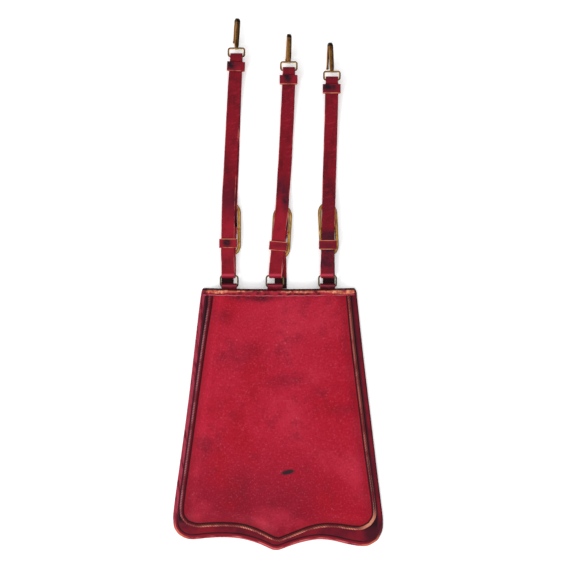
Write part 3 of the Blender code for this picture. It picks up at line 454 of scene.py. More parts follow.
def board_finish():
    finish = Finish("board_leather", shade(116, 8, 28), 0.5, gloss=LEATHER_GLOSS)
    place = finish.place()
    across, down = finish.part(place, "X"), finish.part(place, "Y")
    inset = finish.mark("Inset")
    large = finish.noise(place, 26.0, 4.0, 0.62)
    left = finish.times(finish.steps(across, -0.088, -0.094), finish.steps(down, -0.318, -0.306))
    right = finish.times(finish.steps(across, 0.088, 0.094), finish.steps(down, -0.325, -0.313))
    finish.coat(shade(84, 4, 24), finish.steps(large, 0.36, 0.64))
    streaks = finish.noise(finish.moved(place, turn=0.15, stretch=(1.0, 7.0, 1.0)), 330.0, 3.0, 0.6)
    # Painted highlight: the left margin lighter and streaked on the side the light comes from
    painted_lit_margin = finish.paint(shade(148, 46, 64), shade(96, 8, 26), finish.steps(streaks, 0.44, 0.64))
    finish.coat(painted_lit_margin, left)
    # Painted shade on the right edge, which faces away from the light
    finish.coat(shade(72, 2, 14), right, finish.steps(inset, 2.4, 1.0))
    sides = finish.maths("MAXIMUM", left, right)
    rim = finish.rest(sides)
    finish.coat(shade(116, 12, 30), rim, finish.steps(inset, 5.2, 4.2))
    # Painted highlight along the rounded edge of the foot
    finish.coat(shade(186, 80, 82), rim, finish.band(inset, 0.9, 0.5, 0.4), finish.steps(large, 0.3, 0.5))
    broken = finish.steps(finish.noise(place, 34.0, 3.0), 0.42, 0.56)
    finish.coat(shade(222, 112, 108), rim, finish.band(inset, 2.2, 0.5, 0.4), broken, 0.75)
    corner = finish.spot(place, (0.126, -0.322), (0.014, 0.017), 0.0, 0.4)
    finish.coat(shade(52, 4, 20), corner, 0.85)
    # Painted shade in the crease near the edge, left out at the lower right corner
    crease = finish.times(finish.band(inset, 6.3, 0.9, 0.7), finish.rest(corner),
                          finish.steps(finish.noise(place, 30.0), 0.28, 0.44, 0.35, 1.0))
    finish.coat(shade(26, 0, 6), crease, 0.9)
    # Painted shadow of the pocket's edge on the left and right margins
    finish.coat(shade(74, 6, 26), sides, finish.steps(inset, 4.6, 5.8), 0.85)
    finish.coat(shade(22, 0, 6), sides, finish.steps(inset, 6.4, 7.8), 0.9)
    # Painted shadow along the board's top edge at the mouth
    finish.coat(shade(34, 0, 14), finish.steps(down, -0.0088, -0.0072), 0.85)
    wear = finish.maths("MAXIMUM", finish.spot(place, (-0.128, -0.326), (0.012, 0.010), 0.0, 0.5),
                        finish.spot(place, (0.121, -0.337), (0.013, 0.008), 0.3, 0.5))
    wear = finish.times(wear, finish.steps(inset, 3.2, 1.6), finish.steps(large, 0.36, 0.48))
    finish.coat(shade(184, 92, 68), wear, 0.85)
    normal = finish.bump(grain(finish, place, 1.2), 0.3, 0.45)
    normal = finish.bump(finish.times(crease, -1.0), 0.8, 0.5, normal)
    rough = finish.steps(large, 0.3, 0.7, 0.42, 0.62)
    return finish.done(rough, normal)


# Painted shadow beside the buckles and painted highlights at the folds round the rings, in metres: colour,
# middle along Y, half width, softness, heights at which the colour starts and is full, and strength
STRAP_SHADOW_AND_HIGHLIGHTS = [(shade(26, 2, 12), 0.074, 0.018, 0.006, 0.0070, 0.0056, 0.85),
                (shade(186, 58, 78), 0.0124, 0.0013, 0.0013, 0.0072, 0.0082, 0.75),
                (shade(150, 52, 74), -0.0017, 0.0006, 0.0006, 0.0062, 0.0072, 0.75)]


def strap_finish(name, body, dark, edge, wear, stains=(), stain=None):
    """Strap leather whose cut edges and rubbed corners show the tan hide; wear is how much of them."""
    finish = Finish(name, body, 0.45, gloss=LEATHER_GLOSS)
    place = finish.sheet_place()
    solid_place = finish.place()
    rim = finish.mark("Rim")
    long_streaks = finish.noise(finish.moved(place, stretch=(1.0, 4.0, 1.0)), 120.0, 4.0, 0.6)
    wrinkles = finish.noise(finish.moved(place, turn=0.2, stretch=(4.0, 1.0, 1.0)), 260.0, 3.0, 0.6)
    large = finish.noise(solid_place, 24.0, 4.0, 0.6)
    speckle_and_sheen = finish.noise(solid_place, 480.0, 2.0, 0.6)
    finish.coat(dark, finish.steps(large, 0.5, 0.7, 0.0, 0.7))
    finish.coat(dark, finish.steps(long_streaks, 0.5, 0.72, 0.0, 0.6))
    finish.coat(shade(152, 22, 42), finish.steps(wrinkles, 0.52, 0.7, 0.0, 0.5))
    # Painted sheen in light speckles
    finish.coat(shade(160, 50, 64), finish.steps(speckle_and_sheen, 0.56, 0.76, 0.0, 0.25))
    for row in FRESH_RED:
        finish.coat(shade(138, 16, 34), smudge(finish, solid_place, row))
    for row in stains:
        finish.coat(stain, smudge(finish, solid_place, row))
    length, height = finish.part(solid_place, "Y"), finish.part(solid_place, "Z")
    # Painted shadow beside the buckles and painted highlights on the folds round the rings
    for tone, middle, half_width, soft, low, high, strength in STRAP_SHADOW_AND_HIGHLIGHTS:
        near = finish.band(length, middle, half_width, soft)
        finish.coat(tone, near, finish.steps(height, low, high), strength)
    worn = finish.steps(finish.noise(solid_place, 60.0, 4.0), 0.6 - 0.35 * wear, 0.78 - 0.25 * wear)
    right_side = finish.steps(finish.part(place, "X"), -0.001, 0.001)
    top_edge = finish.times(finish.steps(length, 0.20, 0.21), right_side)
    finish.coat(edge, finish.steps(rim, 0.35, 0.85), finish.times(worn, finish.rest(top_edge)))
    # Painted shadow under the folds round the rings, where the lower layers lie in the dark
    shadow_under_fold = finish.times(finish.steps(length, 0.0096, 0.0080), finish.steps(height, 0.0068, 0.0054))
    finish.coat(shade(22, 0, 6), shadow_under_fold, 0.93)
    normal = finish.bump(grain(finish, solid_place, 0.9), 0.3, 0.35)
    normal = finish.bump(wrinkles, 0.3, 0.3, normal)
    rough = finish.steps(long_streaks, 0.3, 0.7, 0.36, 0.6)
    return finish.done(rough, normal)


def binding_finish():
    finish = Finish("binding_leather", shade(150, 30, 46), 0.6, gloss=LEATHER_GLOSS)
    place = finish.place()
    sideways = finish.part(place, "X")
    across = finish.part(finish.sheet_place(), "Y")
    large = finish.noise(place, 60.0, 5.0, 0.65)
    finish.coat(shade(88, 4, 20), finish.steps(large, 0.42, 0.58))
    ends = finish.steps(finish.maths("ABSOLUTE", sideways), 0.055, 0.085)
    reach = finish.maths("ADD", finish.steps(ends, 0.0, 1.0, 0.0046, 0.0064),
                       finish.times(finish.maths("SUBTRACT", finish.noise(place, 36.0, 3.0), 0.5), 0.008))
    fold_band = finish.steps(finish.maths("SUBTRACT", across, reach), 0.0010, -0.0010)
    share = finish.maths("ADD", finish.noise(place, 42.0, 4.0, 0.7), finish.times(ends, 0.06))
    holes = finish.steps(finish.noise(place, 95.0, 3.0, 0.6), 0.62, 0.53)
    rubbed = finish.times(fold_band, finish.steps(share, 0.43, 0.53), holes)
    finish.coat(shade(180, 86, 68), rubbed)
    fibres = finish.steps(finish.noise(place, 210.0, 4.0, 0.7), 0.48, 0.62)
    finish.coat(shade(222, 140, 108), rubbed, fibres)
    finish.coat(shade(92, 10, 32), finish.steps(sideways, -0.0905, -0.0945, 0.0, 0.85))
    # Painted shadow on the binding's front lip at the mouth
    finish.coat(shade(22, 0, 8), finish.steps(across, 0.0036, 0.0027, 0.0, 0.88))
    lower = finish.band(across, 0.0093, 0.0005, 0.0003)
    finish.coat(shade(176, 84, 96), lower, finish.steps(large, 0.4, 0.54))
    normal = finish.bump(grain(finish, place, 0.9), 0.4, 0.4)
    normal = finish.bump(large, 0.4, 0.5, normal)
    return finish.done(finish.steps(large, 0.3, 0.7, 0.5, 0.75), normal)


def brass_finish(name, bright, dull, grime_and_shade, grime_share, roughness, inward_highlight, black_from=None):
    """Worn brass: painted shade where it faces out, painted highlight where it faces in, black past a place
    if given.
    """
    finish = Finish(name, bright, roughness, metallic=1.0)
    place = finish.place()
    large = finish.noise(place, 130.0, 4.0, 0.6)
    fine = finish.noise(place, 700.0, 4.0, 0.6)
    finish.coat(dull, finish.steps(large, 0.35, 0.65))
    pitted = finish.steps(fine, 0.6 - 0.12 * grime_share, 0.72 - 0.08 * grime_share)
    finish.coat(grime_and_shade, pitted, grime_share)
    # Painted shade where the brass faces outward and a painted highlight where it faces inward
    facing = finish.mark("Facing")
    finish.coat(grime_and_shade, finish.steps(facing, 0.0, 0.6, 0.0, 0.95))
    finish.coat(inward_highlight, finish.steps(facing, -0.25, -0.7, 0.0, 0.9))
    if black_from is not None:
        aged = finish.steps(finish.part(place, "Y"), (black_from - 1.0) * MM, (black_from + 0.6) * MM)
        finish.coat(shade(14, 10, 8), aged, 0.95)
    normal = finish.bump(fine, 0.25, 0.15)
    rough = finish.steps(large, 0.3, 0.7, roughness - 0.1, roughness + 0.14)
    return finish.done(rough, normal)


# Shaping tools

def smooth_path(points, steps):
    """A curve through the points, with the given number of steps between each two."""
    padded = [points[0]] + list(points) + [points[-1]]
    path = []
    for i in range(1, len(padded) - 2):
        before, start, end, after = (Vector(padded[i + k]) for k in (-1, 0, 1, 2))
        for step in range(steps):
            t = step / steps
            bend = (2 * before - 5 * start + 4 * end - after) * t * t
            turn = (3 * start - before - 3 * end + after) * t ** 3
            path.append(start + ((end - before) * t + bend + turn) / 2)
    path.append(Vector(points[-1]))
    return path


def along(table, at):
    """Smooth value at a place, from rows of (place, value) in rising order, with no overshoot."""
    places = [row[0] for row in table]
    if at <= places[0]:
        return table[0][1]
    if at >= places[-1]:
        return table[-1][1]
    i = bisect.bisect_right(places, at) - 1

    def slope(k):
        return (table[k + 1][1] - table[k][1]) / (table[k + 1][0] - table[k][0])

    def tangent(k):
        if k == 0 or k == len(table) - 1:
            return 0.0
        left, right = slope(k - 1), slope(k)
        return 0.0 if left * right <= 0 else 2 * left * right / (left + right)

    width = table[i + 1][0] - table[i][0]
    t = (at - table[i][0]) / width
    rise = t * t * (3 - 2 * t)
    start, end = tangent(i) * width, tangent(i + 1) * width
    bow = start * t * (1 - t) ** 2 - end * t * t * (1 - t)
    return table[i][1] * (1 - rise) + table[i + 1][1] * rise + bow


def running_lengths(path):
    """How far along a path each of its points lies."""
    lengths = [0.0]
    for a, b in zip(path, path[1:]):
        lengths.append(lengths[-1] + (b - a).length)
    return lengths


def on_polyline(path, share):
    """Point at a share, 0 to 1, of the length of a path."""
    lengths = running_lengths(path)
    wanted = share * lengths[-1]
    i = min(bisect.bisect_right(lengths, wanted), len(path) - 1)
    part = (wanted - lengths[i - 1]) / (lengths[i] - lengths[i - 1])
    return path[i - 1].lerp(path[i], part)


def smoothstep(value):
    t = min(max(value, 0.0), 1.0)
    return t * t * (3 - 2 * t)


def bump(distance, half_width):
    """A rounded ridge, 1 at its crest and 0 beyond its half width."""
    if abs(distance) >= half_width:
        return 0.0
    return math.cos(distance / half_width * math.pi / 2) ** 2


def bent_grid(columns, rows, place, sheet=None, marks=None):
    """A grid of faces whose vertex at column i and row j goes to place(i, j), in millimetres.

    sheet(i, j) gives its place on the flat leather, and marks names numbers that the finish reads."""
    made = bmesh.new()
    bmesh.ops.create_grid(made, x_segments=columns, y_segments=rows, size=1.0)
    flat = made.loops.layers.uv.new("Leather")
    layers = {name: made.verts.layers.float.new(name) for name in (marks or {})}
    spots = {}
    for corner in made.verts:
        spot = (round((corner.co.x + 1) / 2 * columns), round((corner.co.y + 1) / 2 * rows))
        spots[corner] = spot
        corner.co = Vector(place(*spot)) * MM
        for name, layer in layers.items():
            corner[layer] = marks[name](*spot)
    if sheet is not None:
        for face in made.faces:
            for loop in face.loops:
                loop[flat].uv = Vector(sheet(*spots[loop.vert])) * MM
    return made


def put_in_scene(name, data):
    thing = bpy.data.objects.new(name, data)
    bpy.context.scene.collection.objects.link(thing)
    return thing


def mesh_of(name, made):
    mesh = bpy.data.meshes.new(name)
    made.to_mesh(mesh)
    made.free()
    return mesh


def new_piece(name, made, finish, body, replaced):
    """The finished piece, riding on a body and standing for CAD nodes."""
    mesh = mesh_of(name, made)
    mesh.shade_smooth()
    mesh.set_sharp_from_angle(angle=math.radians(SHARP_ANGLE))
    mesh.materials.append(finish)
    piece = put_in_scene(name, mesh)
    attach(piece, body)
    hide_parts(replaced)
    return piece


def mark_facing(piece, direction):
    """Note on each spot of a piece how far it faces the direction given, which the brass finish turns into
    painted shade and highlight.
    """
    note = piece.data.attributes.new("Facing", "FLOAT", "POINT")
    for spot, value in zip(piece.data.vertices, note.data):
        value.value = spot.normal.dot(direction(spot.co))


def outward_of_frame(piece):
    """For a wire frame lying flat: the direction away from its middle, as a function of the place."""
    spots = [spot.co for spot in piece.data.vertices]
    low = [min(spot[k] for spot in spots) for k in (0, 1)]
    high = [max(spot[k] for spot in spots) for k in (0, 1)]
    middle = [(low[k] + high[k]) / 2 for k in (0, 1)]
    half = [(high[k] - low[k]) / 2 for k in (0, 1)]

    def direction(place):
        away = [((place[k] - middle[k]) / half[k]) ** 3 / half[k] for k in (0, 1)]
        return Vector((away[0], away[1], 0)).normalized()

    return direction


def combine(made, other, operation):
    """Fuse or cut one closed shape with another and give back the result."""
    target, tool = (put_in_scene("shaping", mesh_of("shaping", shape)) for shape in (made, other))
    step = target.modifiers.new("shaping", "BOOLEAN")
    step.operation = operation
    step.object = tool
    shaped = bmesh.new()
    shaped.from_object(target, bpy.context.evaluated_depsgraph_get())
    for holder in (target, tool):
        bpy.data.objects.remove(holder)
    return shaped


def sealed(made):
    """The shape with its seam merged, its open ends filled and its faces turned outward."""
    bmesh.ops.remove_doubles(made, verts=made.verts, dist=MERGE_DISTANCE)
    bmesh.ops.holes_fill(made, edges=[e for e in made.edges if e.is_boundary], sides=0)
    bmesh.ops.recalc_face_normals(made, faces=made.faces)
    return made


def closed_tube(path, section):
    """A ring of tube along a closed path; section(i) gives the offsets from path point i."""
    sides = len(section(0))
    sections = [section(i) for i in range(len(path))]
    count = len(path)
    return sealed(bent_grid(sides, count, lambda i, j: path[j % count] + sections[j % count][i % sides]))


def open_tube(path, section, sheet=None, marks=None):
    """A tube along an open path with closed ends; section(i) gives the offsets from path point i."""
    sections = [section(i) for i in range(len(path))]
    sides = len(sections[0])
    last = len(path) - 1
    return sealed(bent_grid(sides, last, lambda i, j: path[j] + sections[j][i % sides], sheet, marks))


def upright(path, i):
    """Direction square to an open path and to the sideways one at a point."""
    run = path[min(i + 1, len(path) - 1)] - path[max(i - 1, 0)]
    return SIDEWAYS.cross(run.normalized())


def round_section(across, up, radius, sides):
    """Offsets of a round wire's surface, across the path and upwards."""
    turns = [(k + 0.5) / sides * 2 * math.pi for k in range(sides)]
    return [across * (radius * math.cos(turn)) + up * (radius * math.sin(turn)) for turn in turns]


def soft_section(sides, squareness):
    """Unit outline of a bar's section, from round at 1 to nearly square at 0."""
    outline = []
    for k in range(sides):
        turn = (k + 0.5) / sides * 2 * math.pi
        c, s = math.cos(turn), math.sin(turn)
        outline.append((math.copysign(abs(c) ** squareness, c), math.copysign(abs(s) ** squareness, s)))
    return outline


def cross_direction(path, i):
    """Sideways direction at a point of a closed path that lies level."""
    run = (path[(i + 1) % len(path)] - path[i - 1]).normalized()
    return run.cross(UP).normalized()


def rounded_rectangle(half_width, half_height, corner, steps, tall=None):
    """Points of a level rounded rectangle; tall is how far its corners reach along Y if they aren't round."""
    reach = corner if tall is None else tall
    points = []
    for quarter, (sx, sy) in enumerate([(1, 1), (-1, 1), (-1, -1), (1, -1)]):
        for step in range(steps + 1):
            angle = math.radians(90 * (quarter + step / steps))
            x = sx * (half_width - corner) + corner * math.cos(angle)
            y = sy * (half_height - reach) + reach * math.sin(angle)
            points.append(Vector((x, y, 0.0)))
    return points


def wire_frame(centre, half_width, half_height, corner, wire):
    """A level rectangle of round wire about a centre."""
    path = [centre + p for p in rounded_rectangle(half_width, half_height, corner, 8)]
    return closed_tube(path, lambda i: round_section(cross_direction(path, i), UP, wire, 16))


def rod(start, end, across, radius, sides):
    """A straight round bar between two places that lie level."""
    return open_tube([start, end], lambda i: round_section(across, UP, radius, sides))


def fold(y, z, radius, start, end, steps):
    """Points of a strap's turn round a bar, from a start to an end angle in degrees."""
    turn = []
    for step in range(steps + 1):
        angle = math.radians(start + (end - start) * step / steps)
        turn.append((y + radius * math.cos(angle), z + radius * math.sin(angle)))
    return turn


def block(centre, size):
    made = bmesh.new()
    bmesh.ops.create_cube(made, size=1.0)
    bmesh.ops.scale(made, vec=Vector(size) * MM, verts=made.verts)
    bmesh.ops.translate(made, vec=Vector(centre) * MM, verts=made.verts)
    return made


def mouth_y(x):
    """Top edge of the bag, which sags a little in the middle."""
    return MOUTH_CORNER_Y - MOUTH_SAG * max(0.0, 1 - (x / MOUTH_HALF_WIDTH) ** 2)


# The bag

# Distances in from the edge at which a sheet's grid lines run, and the number of lines across the middle
EDGE_LINES = [0.0, 0.12, 0.3, 0.55, 0.85, 1.2, 1.6, 2.0, 2.4, 2.8, 3.2, 3.6, 4.0, 4.4, 4.8, 5.2, 5.6, 6.0,
              6.4, 6.8, 7.2, 7.6, 8.0, 8.4, 9.0, 9.8, 10.8, 12.0, 13.4, 15.0, 17.0, 19.0, 21.5, 24.5]
MIDDLE_COUNT = 36


def grid_shares(mean_size):
    """Where the grid lines of a sheet run, as shares of its mean size."""
    step = [d / mean_size for d in EDGE_LINES]
    first, last = step[-1], 1 - step[-1]
    middle = [first + (last - first) * k / MIDDLE_COUNT for k in range(1, MIDDLE_COUNT)]
    return step + middle + [1 - s for s in reversed(step)]


class Sheet:
    """A cut sheet of leather between a left edge, a right edge, a foot and a head line."""

    def __init__(self, left, right, foot, head_back, mean_width, mean_height):
        self.left = smooth_path(left, 8)
        self.right = smooth_path(right, 8)
        self.foot = smooth_path(foot, 8)
        self.head_back = head_back
        edge = self.left + self.foot[1:-1] + list(reversed(self.right))
        self.edge = np.array([[p.x, p.y] for p in edge])
        runs = np.linalg.norm(np.diff(self.edge, axis=0), axis=1)
        self.run_starts = np.concatenate([[0.0], np.cumsum(runs)[:-1]])
        self.columns = grid_shares(mean_width)
        self.rows = grid_shares(mean_height)

    def edge_distance(self, at):
        """Distance in from the cut edge and the place along it."""
        start, run = self.edge[:-1], np.diff(self.edge, axis=0)
        away = np.array([at.x, at.y]) - start
        part = np.clip((away * run).sum(1) / (run ** 2).sum(1), 0, 1)
        gap = np.linalg.norm(away - run * part[:, None], axis=1)
        nearest = int(gap.argmin())
        beyond = part[nearest] * np.linalg.norm(run[nearest])
        return float(gap[nearest]), float(self.run_starts[nearest] + beyond)

    def survey(self):
        """Place, edge distance and run of every grid vertex."""
        lefts = [on_polyline(self.left, v) for v in self.rows]
        rights = [on_polyline(self.right, v) for v in self.rows]
        feet = [on_polyline(self.foot, u) for u in self.columns]
        found = {}
        for i, u in enumerate(self.columns):
            x = self.left[0].x + (self.right[0].x - self.left[0].x) * u
            head = Vector((x, mouth_y(x) - self.head_back))
            for j, v in enumerate(self.rows):
                ends = (1 - u) * (1 - v) * self.left[0] + u * (1 - v) * self.right[0]
                ends = ends + (1 - u) * v * self.left[-1] + u * v * self.right[-1]
                at = (1 - v) * head + v * feet[i] + (1 - u) * lefts[j] + u * rights[j] - ends
                found[i, j] = (at, *self.edge_distance(at))
        return found


def panel_under(at, inset):
    down = min(max(-at.y / PANEL_MEAN_HEIGHT, 0.0), 1.0)
    depth = POCKET_DEPTH_AT_MOUTH + (POCKET_DEPTH_AT_FOOT - POCKET_DEPTH_AT_MOUTH) * down
    return BOARD_THICKNESS + CLEARANCE + depth * smoothstep((inset - SEAM_WIDTH) / SWELL_WIDTH)


def panel_top(at, inset):
    shown = smoothstep((-at.y - BINDING_END) / BEAD_RISE)
    relief = BEAD_HEIGHT * bump(inset - BEAD_CENTRE, BEAD_HALF_WIDTH)
    relief -= GROOVE_DEPTH * bump(inset - GROOVE_CENTRE, GROOVE_HALF_WIDTH)
    wall = PANEL_RAW_EDGE + (PANEL_THICKNESS - PANEL_RAW_EDGE) * smoothstep(inset / PANEL_WALL_RISE)
    rounding = PANEL_EDGE_DROP * (1 - smoothstep(inset / PANEL_EDGE_RUN))
    return panel_under(at, inset) + wall - rounding + relief * shown


def leather_sheet(sheet, bottom, top):
    """Both faces of a sheet and the cut edge between them; bottom and top give their heights."""
    found = sheet.survey()
    columns, rows = len(sheet.columns) - 1, len(sheet.rows) - 1

    def place(i, j):
        at, inset, _ = found[i, j]
        return (at.x, at.y, bottom(at, inset))

    marks = {"Inset": lambda i, j: found[i, j][1], "Run": lambda i, j: found[i, j][2]}
    made = bent_grid(columns, rows, place, marks=marks)
    inset_layer = made.verts.layers.float["Inset"]
    raised = bmesh.ops.extrude_face_region(made, geom=list(made.faces))["geom"]
    for item in raised:
        if isinstance(item, bmesh.types.BMVert):
            at = Vector((item.co.x, item.co.y)) / MM
            item.co.z = top(at, item[inset_layer]) * MM
    bmesh.ops.recalc_face_normals(made, faces=made.faces)
    return made


def make_panel(finish):
    sheet = Sheet(PANEL_LEFT, PANEL_RIGHT, PANEL_FOOT, RIM_SETBACK, PANEL_MEAN_WIDTH, PANEL_MEAN_HEIGHT)
    made = leather_sheet(sheet, panel_under, panel_top)
    new_piece("leather_panel", made, finish, "root", "pocket_panel")
    return sheet


def make_board(finish):
    sheet = Sheet(BOARD_LEFT, BOARD_RIGHT, BOARD_FOOT, 0.0, BOARD_MEAN_WIDTH, BOARD_MEAN_HEIGHT)

    def rounding(at, inset):
        near = min(inset, max(mouth_y(at.x) - at.y, 0.0))
        rise = 1 - min(near / BOARD_EDGE_RUN, 1.0)
        return BOARD_EDGE_DROP * (1 - math.sqrt(max(0.0, 1 - rise ** 2)))

    made = leather_sheet(sheet, rounding, lambda at, inset: BOARD_THICKNESS - rounding(at, inset))
    new_piece("leather_board", made, finish, "root", "face_board")


def make_binding(sheet, finish):
    """Strip across the mouth, turned over the rim, with its lower edge on the panel."""
    first, last = BINDING_ENDS
    count = 180
    half = BINDING_THICKNESS / 2
    # Rows of (drop back from the front of the fold, share of the lip's height below the top of the leaf)
    backs = [(0.0, 1.0), (-0.1, 0.6), (0.05, 0.3), (0.45, 0.1), (1.0, 0.0), (1.7, 0.0), (2.6, 0.0),
             (3.8, 0.0), (5.0, 0.0), (6.0, 0.0), (6.7, 0.0), (7.1, 0.0), (BINDING_WIDTH, 0.0)]
    flat_across = [0.0, 1.2, 2.0, 2.7, 3.3, 4.0, 5.0, 6.2, 7.4, 8.4, 9.1, 9.5, 9.8]

    def place(column, row):
        x = first + (last - first) * column / count
        front = mouth_y(x) - BINDING_SETBACK - half
        back, drop = backs[row]
        y = front - back
        at = Vector((x, min(y, front - RIM_SETBACK + BINDING_SETBACK)))
        on_panel = sheet.left[0].x - 0.6 < x < sheet.right[0].x + 0.6
        inset, _ = sheet.edge_distance(at)
        low = (panel_under(at, inset) if on_panel else BOARD_THICKNESS) + CLEARANCE + 0.2
        high = (panel_top(at, inset) if on_panel else BOARD_THICKNESS) + BINDING_SEAT + half
        ripple = 0.18 * math.sin(x * 0.35) + 0.12 * math.sin(x * 0.83 + 1.0)
        return (x, y + ripple, high - (high - low) * drop)

    def flat(column, row):
        return ((last - first) * column / count, flat_across[row])

    made = bent_grid(count, len(backs) - 1, place, flat)
    piece = new_piece("leather_binding", made, finish, "root", "mouth_binding")
    wall = piece.modifiers.new("Thickness", "SOLIDIFY")
    wall.thickness = BINDING_THICKNESS * MM
    wall.offset = 0.0


# The slings

def bar_turn(wire):
    """Radius of a strap's middle line round a bar."""
    return wire + CLEARANCE + STRAP_THICKNESS / 2


def hook_axis_height(sling):
    turn = math.radians(sling["hook_turn"])
    return HOOK_GAPE * math.cos(turn) + HOOK_BALL_RADIUS + HOOK_REST_GAP


def ring_fold_y():
    """Centre of a sling's turn round its ring, a little below the ring's bar because the ring is rounded."""
    return RING_CENTRE_Y + RING_HALF_HEIGHT - RING_SLACK


def loop_bar_y(sling):
    """The hook loop's lower bar, which hangs a little loose in the sling's turn."""
    return sling["loop_y"] - LOOP_SLACK


def bar_place(sling):
    """Place across and along of the middle of the buckle's centre bar."""
    return along(sling["far"], sling["bar_y"]), sling["bar_y"]


def near_height(sling):
    """Height of the near run's middle line, from the ring up to the loop."""
    bar, loop, high = sling["bar_y"], sling["loop_y"], hook_axis_height(sling)
    return [
        (ring_fold_y(), RING_Z + bar_turn(RING_WIRE)), (bar - 50, 8.9), (bar - 34, 10.1), (bar - 24, 11.0),
        (bar - 10, 11.1), (bar, 10.7), (bar + 15, 9.6), (bar + 34, 7.8), (bar + 56, 3.6), (bar + 64, 3.1),
        (loop - 90, 3.1), (loop - 60, 4.6), (loop - 32, 7.6), (loop - 18, 9.4),
        (loop - 9, high + bar_turn(LOOP_WIRE) - 1.2), (loop, high + bar_turn(LOOP_WIRE)),
    ]


def far_height(sling):
    """Height of the far run from the loop's fold down to the free tip."""
    bar, loop, high = sling["bar_y"], sling["loop_y"], hook_axis_height(sling)
    return [
        (sling["tip_end"], 1.1), (bar - 50, 1.1), (bar - 33, 5.7), (bar - 25, 7.2), (bar - 12.2, 7.2),
        (bar - 7.3, 3.3), (bar - 3, 1.1), (bar + 5, 1.1), (bar + 12, 3.6), (bar + 20, 5.2), (bar + 33, 5.6),
        (bar + 52, 1.1), (loop - 88, 1.1), (loop - 60, 2.6), (loop - 32, 5.6), (loop - 18, 7.3),
        (loop - 9, high - bar_turn(LOOP_WIRE) + 0.2), (loop, high - bar_turn(LOOP_WIRE)),
    ]


def chape_run_height(sling):
    """Height of the run between the ring and the buckle's centre bar."""
    bar = sling["bar_y"]
    return [
        (ring_fold_y(), RING_Z - bar_turn(RING_WIRE)), (bar - 50, 4.0), (bar - 33, 8.0), (bar - 25, 9.1),
        (bar - 13, 9.1), (bar - 5, 8.0), (bar, BUCKLE_BAR_Z + bar_turn(BUCKLE_BAR_RADIUS)),
    ]


def stations_between(start, end):
    """Even places along a run from start to end."""
    parts = max(1, round(abs(end - start) / STRAP_SPACING))
    return [start + (end - start) * k / parts for k in range(parts + 1)]


def strap_section(half_width, half_thickness, rounding):
    """Outline of a strap's section as (across, up, nearness to the cut edge)."""
    inner, flat = half_width - rounding, half_thickness - rounding * 0.8
    across = [(inner, 0.75), (inner - 0.5, 0.4), (inner - 1.3, 0.0), (inner * 0.5, 0.0)]
    across += [(0.0, 0.0)] + [(-x, rim) for x, rim in reversed(across)]
    top = [(x, half_thickness, rim) for x, rim in across]
    corner = rounding * 0.3
    left = [(-half_width + corner, half_thickness - corner, 1.0), (-half_width, flat, 1.0),
            (-half_width, -flat, 1.0), (-half_width + corner, -half_thickness + corner, 1.0)]
    return top + left + [(-x, -y, rim) for x, y, rim in top + left]


def swept_strap(path):
    """A leather strap along (x, y, z, width) points, level across, with softly rounded cut edges."""
    lines = [strap_section(row[3] / 2, STRAP_THICKNESS / 2, STRAP_ROUNDING) for row in path]
    sides = len(lines[0])
    centres = [Vector(row[:3]) for row in path]
    normals = []
    for i in range(len(path)):
        run = centres[min(i + 1, len(path) - 1)] - centres[max(i - 1, 0)]
        normals.append(Vector((0.0, -run.z, run.y)).normalized())
    lengths = running_lengths(centres)

    def section(j):
        return [Vector((across, 0, 0)) + normals[j] * up for across, up, _ in lines[j]]

    def flat(i, j):
        return (lines[j][i % sides][0], lengths[j])

    return open_tube(centres, section, flat, {"Rim": lambda i, j: lines[j][i % sides][2]})


def near_width(sling, y):
    """Width of the near run, a little less where it goes through the hook's loop."""
    return along([(sling["loop_y"] - LOOP_END_RUN, STRAP_WIDTH), (sling["loop_y"], LOOP_END_WIDTH)], y)


def sling_path(sling):
    """Middle line of a whole sling as (x, y, z, width), from its sewn end at the buckle to its free tip."""
    bar, loop = sling["bar_y"], sling["loop_y"]
    high = hook_axis_height(sling)
    near_x, far_x = sling["near"], sling["far"]
    near, far, chape = near_height(sling), far_height(sling), chape_run_height(sling)
    bar_x = along(far_x, bar)
    path = [(bar_x, bar - 6.4, 4.7, FAR_WIDTH), (bar_x, bar - 3.4, 3.3, FAR_WIDTH)]
    path += [(bar_x, y, z, FAR_WIDTH) for y, z in
             fold(bar, BUCKLE_BAR_Z, bar_turn(BUCKLE_BAR_RADIUS), -90, 90, FOLD_STEPS)]
    for y in stations_between(bar, ring_fold_y())[1:-1]:
        path.append((along(far_x, y), y, along(chape, y), FAR_WIDTH))
    for k, (y, z) in enumerate(fold(ring_fold_y(), RING_Z, bar_turn(RING_WIRE), -90, -270, FOLD_STEPS)):
        part = k / FOLD_STEPS
        x = along(far_x, y) * (1 - part) + along(near_x, y) * part
        path.append((x, y, z, FAR_WIDTH + (STRAP_WIDTH - FAR_WIDTH) * part))
    for y in stations_between(ring_fold_y(), loop)[1:-1]:
        path.append((along(near_x, y), y, along(near, y), near_width(sling, y)))
    for k, (y, z) in enumerate(fold(loop, high, bar_turn(LOOP_WIRE), 90, -90, FOLD_STEPS)):
        width = LOOP_END_WIDTH + (FAR_WIDTH - LOOP_END_WIDTH) * k / FOLD_STEPS
        path.append((along(near_x, loop), y, z, width))
    for y in stations_between(loop, sling["tip_end"])[1:]:
        x = along(far_x, y) if y >= bar else along(sling["tip"], y)
        path.append((x, y, along(far, y), FAR_WIDTH))
    return path


